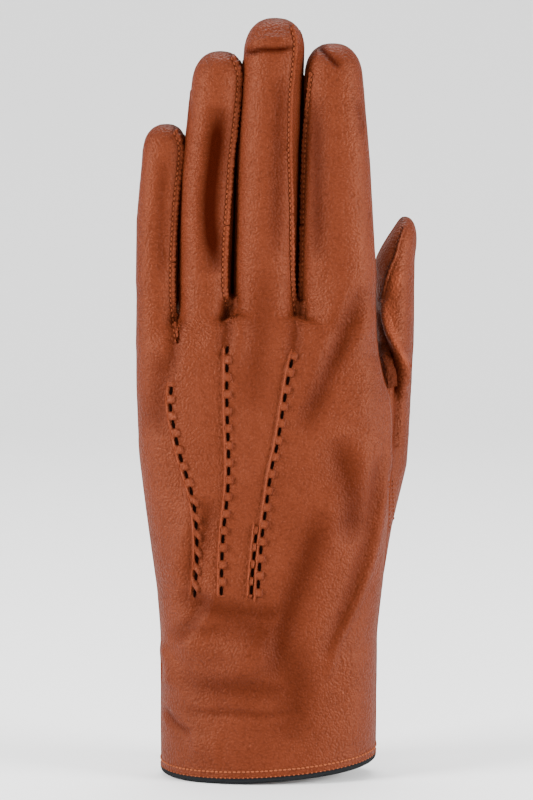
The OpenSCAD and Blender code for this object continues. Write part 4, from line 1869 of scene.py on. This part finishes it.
@dataclass
class Cuff:
    """The wrist opening: turned hem, stitching, black binding and a blank label."""

    skin: Skin
    tree: BVHTree
    hem: float = 13.0
    hem_foot: float = 0.15
    wall: float = 1.0
    around: float = 218.0
    pitch: float = 1.75
    topstitch: tuple[float, float, float] = (1.3, 0.62, 0.5)
    whipstitch: tuple[float, float, float] = (0.6, 0.45, 0.4)
    stitch_height: float = 2.1
    binding: float = 2.0
    binding_reach: float = 0.95

    def girth(self, height: float, depth: float, count: int) -> list[tuple[Vector, Vector]]:
        """Spots round the cuff at a height over its cut edge.

        Args:
            height: height over the cut edge.
            depth: depth under the leather's outside.
            count: how many spots.

        Returns:
            Position and outward direction of each, evenly spaced.
        """
        dense = []
        turns = 720
        for i in range(turns):
            angle = 2 * math.pi * i / turns
            centre = Vector((float(self.skin.palm.middle(0)), 0, 0))
            spot = centre + Vector((36 * math.cos(angle), 22 * math.sin(angle), 0))
            for _ in range(2):
                centre.z = float(self.skin.hem_height(spot.x, spot.y)) + height
                centre.z = max(centre.z, float(self.skin.hem_height(spot.x, spot.y)) + 0.3)
                spot, normal = round_side(self.tree, centre, angle)
            spot = Vector((spot.x, spot.y, float(self.skin.hem_height(spot.x, spot.y)) + height))
            out = Vector((normal.x, normal.y, 0)).normalized()
            dense.append((spot - out * depth, out))
        spots = np.array([s for s, _ in dense + dense[:1]])
        outs = np.array([o for _, o in dense + dense[:1]])
        run = np.concatenate([[0], np.cumsum(np.linalg.norm(np.diff(spots, axis=0), axis=1))])
        at = np.linspace(0, run[-1], count, endpoint=False)
        place = np.column_stack([np.interp(at, run, spots[:, k]) for k in range(3)])
        way = np.column_stack([np.interp(at, run, outs[:, k]) for k in range(3)])
        return [(Vector(p), Vector(o).normalized()) for p, o in zip(place, way)]

    def band(self, name: str, count: int, section: Callable[[float], tuple[float, float]], cells: int,
             ribs: float = 0.0) -> bpy.types.Object:
        """A closed band round the cuff.

        Args:
            name: the piece's name.
            count: its cells round the cuff.
            section: depth and height of its cross-section at 0 to 1 round it.
            cells: cells round the cross-section.
            ribs: how far every second cell stands out.

        Returns:
            The object, in millimetres.
        """
        ring = self.girth(1.0, 0.0, count)
        closed = ring + ring[:1]

        def place(u: Array, v: Array) -> Array:
            """Puts each corner of the band.

            Args:
                u: places across, from 0 to 1.
                v: places along, from 0 to 1.

            Returns:
                One position a place.
            """
            points = []
            for across, along in zip(u, v):
                i = int(round(along * count))
                spot, out = closed[i]
                depth, height = section(across % 1.0)
                proud = ribs * (i % 2)
                spot = spot + out * (proud - depth)
                points.append(Vector((spot.x, spot.y, float(self.skin.hem_height(spot.x, spot.y)) + height)))
            return np.array(points)
        return sheet(name, cells, count, place, wrap=True)

    def build(self) -> None:
        """Makes the hem, its stitching, the binding and the label."""
        near, far, foot = self.wall, self.wall + LEATHER, self.hem_foot
        half = self.binding / 2
        reach = self.binding_reach

        def turned(t: float) -> tuple[float, float]:
            """Depth and height of the hem's cross-section at t round it."""
            return ((near, foot), (near, self.hem), (far, self.hem), (far, foot))[int(t * 4) % 4]
        settle(self.band("turned_hem", 220, turned, 4), Finish.TURNED, "root", ("cuff_hem",))

        def tape(t: float) -> tuple[float, float]:
            """Depth and height of the tape's cross-section at t round it."""
            angle = 2 * math.pi * t
            return reach - reach * math.cos(angle), -half + 0.1 + (half + 0.15) * math.sin(angle)
        settle(self.band("binding_tape", 440, tape, 10, 0.12), Finish.BINDING, "root", ("edge_binding",))
        self.row("hem_topstitch", self.stitch_height, self.topstitch, ("hem_stitching",))
        self.row("binding_stitch", 0.1, self.whipstitch, ())
        self.label()

    def row(self, name: str, height: float, size: tuple[float, float, float], nodes: Sequence[str]) -> None:
        """A row of stitches round the cuff.

        Args:
            name: the piece's name.
            height: its height over the cut edge.
            size: length, width and height of a stitch.
            nodes: the CAD nodes it stands for.
        """
        ring = self.girth(height, -0.08, int(self.around / self.pitch))
        rows = []
        for (spot, out), (after, _) in zip(ring, ring[1:] + ring[:1]):
            rows.append(((spot + after) / 2, after - spot, out, size))
        settle(beads(name, rows), Finish.HEM, "root", nodes)

    def label(self) -> None:
        """A small blank cloth label sewn inside the palm side of the lining."""
        low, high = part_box("size_label")
        wide, tall = (high.x - low.x) / MM, (high.z - low.z) / MM
        middle = (low + high) / 2 / MM

        def place(u: Array, v: Array) -> Array:
            """Lays the label against the lining, slightly bowed.

            Args:
                u: places across, from 0 to 1.
                v: places along, from 0 to 1.

            Returns:
                One position a place.
            """
            x = middle.x + (u - 0.5) * wide
            bow = -0.8 * (2 * u - 1) ** 2 + 0.15 * np.sin(v * 9)
            return np.column_stack([x, np.full_like(x, high.y / MM - 0.3) + bow, low.z / MM + v * tall])
        piece = sheet("blank_label", 16, 12, place)
        thicken(piece, 0.3)
        settle(piece, Finish.LABEL, "root", ("size_label",))


@dataclass
class Lining:
    """The knitted lining, a thinner skin inside the leather."""

    skin: Skin
    cell: float = 1.7
    depth: float = 1.45
    thickness: float = 0.6
    foot: float = 13.0

    def build(self, thumb: Thumb, stalls: Sequence[Stall]) -> None:
        """Makes the lining's pieces.

        Args:
            thumb: the thumb.
            stalls: the fingers.
        """
        form = replace(self.skin, palm=replace(self.skin.palm, webs=())).form(self.cell)
        self.skin.sculpt(form)
        spots, normals = corners(form)
        spots -= normals * self.depth
        put(form, spots)
        self.skin.cut(form, top=self.foot)
        pieces = self.skin.parts(form, "knit")
        bpy.data.objects.remove(form)
        for piece in pieces.values():
            thicken(piece, self.thickness)
        settle(pieces["hand"], Finish.LINING, WRIST, ("hand_lining", "cuff_lining"))
        for stall in stalls:
            for half in ("lower", "upper"):
                name = stall.finger.name
                settle(pieces[f"{name}_{half}"], Finish.LINING, stall.bend(half), (f"{name}_lining_{half}",))
        for half in ("lower", "upper"):
            settle(pieces[f"thumb_{half}"], Finish.LINING, thumb.bend(half), (f"thumb_lining_{half}",))


@dataclass
class Studio:
    """The pale floor, the soft lights and the camera."""

    aim: tuple[float, float, float] = (-0.0012, 0.0, 0.1232)
    distance: float = 1.2
    elevation: float = 5.0
    lens: float = 160.5
    floor: tuple[float, float, float] = (0.86, 0.86, 0.86)
    sky: float = 0.72
    flat: float = 1.2
    radius: float = 1.4

    def lamp(self, name: str, at: tuple[float, float, float], size: float, power: float) -> None:
        """One soft square light that faces the glove.

        Args:
            name: its name.
            at: where it stands.
            size: the length of its side.
            power: its power.
        """
        light = bpy.data.lights.new(name, "AREA")
        light.size = size
        light.energy = power
        lamp = bpy.data.objects.new(name, light)
        bpy.context.scene.collection.objects.link(lamp)
        lamp.location = at
        lamp.rotation_euler = (Vector(self.aim) - Vector(at)).to_track_quat("-Z", "Y").to_euler()

    def build(self) -> None:
        """Sets up the studio."""
        world = bpy.data.worlds.new("studio")
        world.use_nodes = True
        world.node_tree.nodes["Background"].inputs["Color"].default_value = (1, 1, 1, 1)
        world.node_tree.nodes["Background"].inputs["Strength"].default_value = self.sky
        bpy.context.scene.world = world
        self.lamp("left", (-1.2, -0.6, 0.55), 0.55, 54.0)
        self.lamp("right", (1.2, -0.55, 0.4), 0.55, 50.0)
        self.lamp("front", (-0.2, -1.6, 0.9), 0.8, 10.0)
        self.lamp("backdrop", (0.0, 0.7, 1.9), 1.2, 45.0)
        low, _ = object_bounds()

        def sweep(u: Array, v: Array) -> Array:
            """A floor that curves up into a wall behind the glove.

            Args:
                u: places across, from 0 to 1.
                v: places along, from 0 to 1.

            Returns:
                One position a place.
            """
            run = v * 9 - 4
            turn = np.clip((run - self.flat) / self.radius, 0, math.pi / 2)
            y = np.minimum(run, self.flat) + self.radius * np.sin(turn)
            z = self.radius * (1 - np.cos(turn)) + np.maximum(run - self.flat - self.radius * math.pi / 2, 0)
            return np.column_stack([(u - 0.5) * 10, y, z + low.z - 0.0002])
        floor = sheet("floor", 1, 90, sweep)
        mesh = floor.data
        mesh.polygons.foreach_set("use_smooth", [True] * len(mesh.polygons))
        material, _, shader = new_material("floor")
        shader.inputs["Base Color"].default_value = (*self.floor, 1)
        shader.inputs["Roughness"].default_value = 0.9
        mesh.materials.append(material)
        floor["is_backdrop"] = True
        camera = bpy.data.objects.new("camera", bpy.data.cameras.new("camera"))
        bpy.context.scene.collection.objects.link(camera)
        camera.data.lens = self.lens
        camera.data.clip_start = 0.05
        rise = math.radians(self.elevation)
        back = Vector((0, -math.cos(rise), math.sin(rise)))
        camera.location = Vector(self.aim) + back * self.distance
        camera.rotation_euler = (-back).to_track_quat("-Z", "Y").to_euler()
        bpy.context.scene.camera = camera


def main() -> None:
    """Builds the glove and its studio."""
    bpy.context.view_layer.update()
    skin = Skin()
    form = skin.form(skin.cell)
    skin.sculpt(form)
    tree = skin.tree(form)
    trees = [skin.tree(form, i) for i in range(len(FINGERS) + 1)]
    skin.cut(form)
    leathers = skin.parts(form, "skin")
    bpy.data.objects.remove(form)
    HandBack(tree).build(leathers["hand"])
    stalls = [Stall(finger, i, trees) for i, finger in enumerate(FINGERS)]
    for stall in stalls:
        stall.build(leathers)
    thumb = Thumb(skin, trees[len(FINGERS)], tree)
    thumb.build(leathers)
    Cuff(skin, tree).build()
    Lining(skin).build(thumb, stalls)
    Studio().build()


if __name__ == "__main__":
    main()
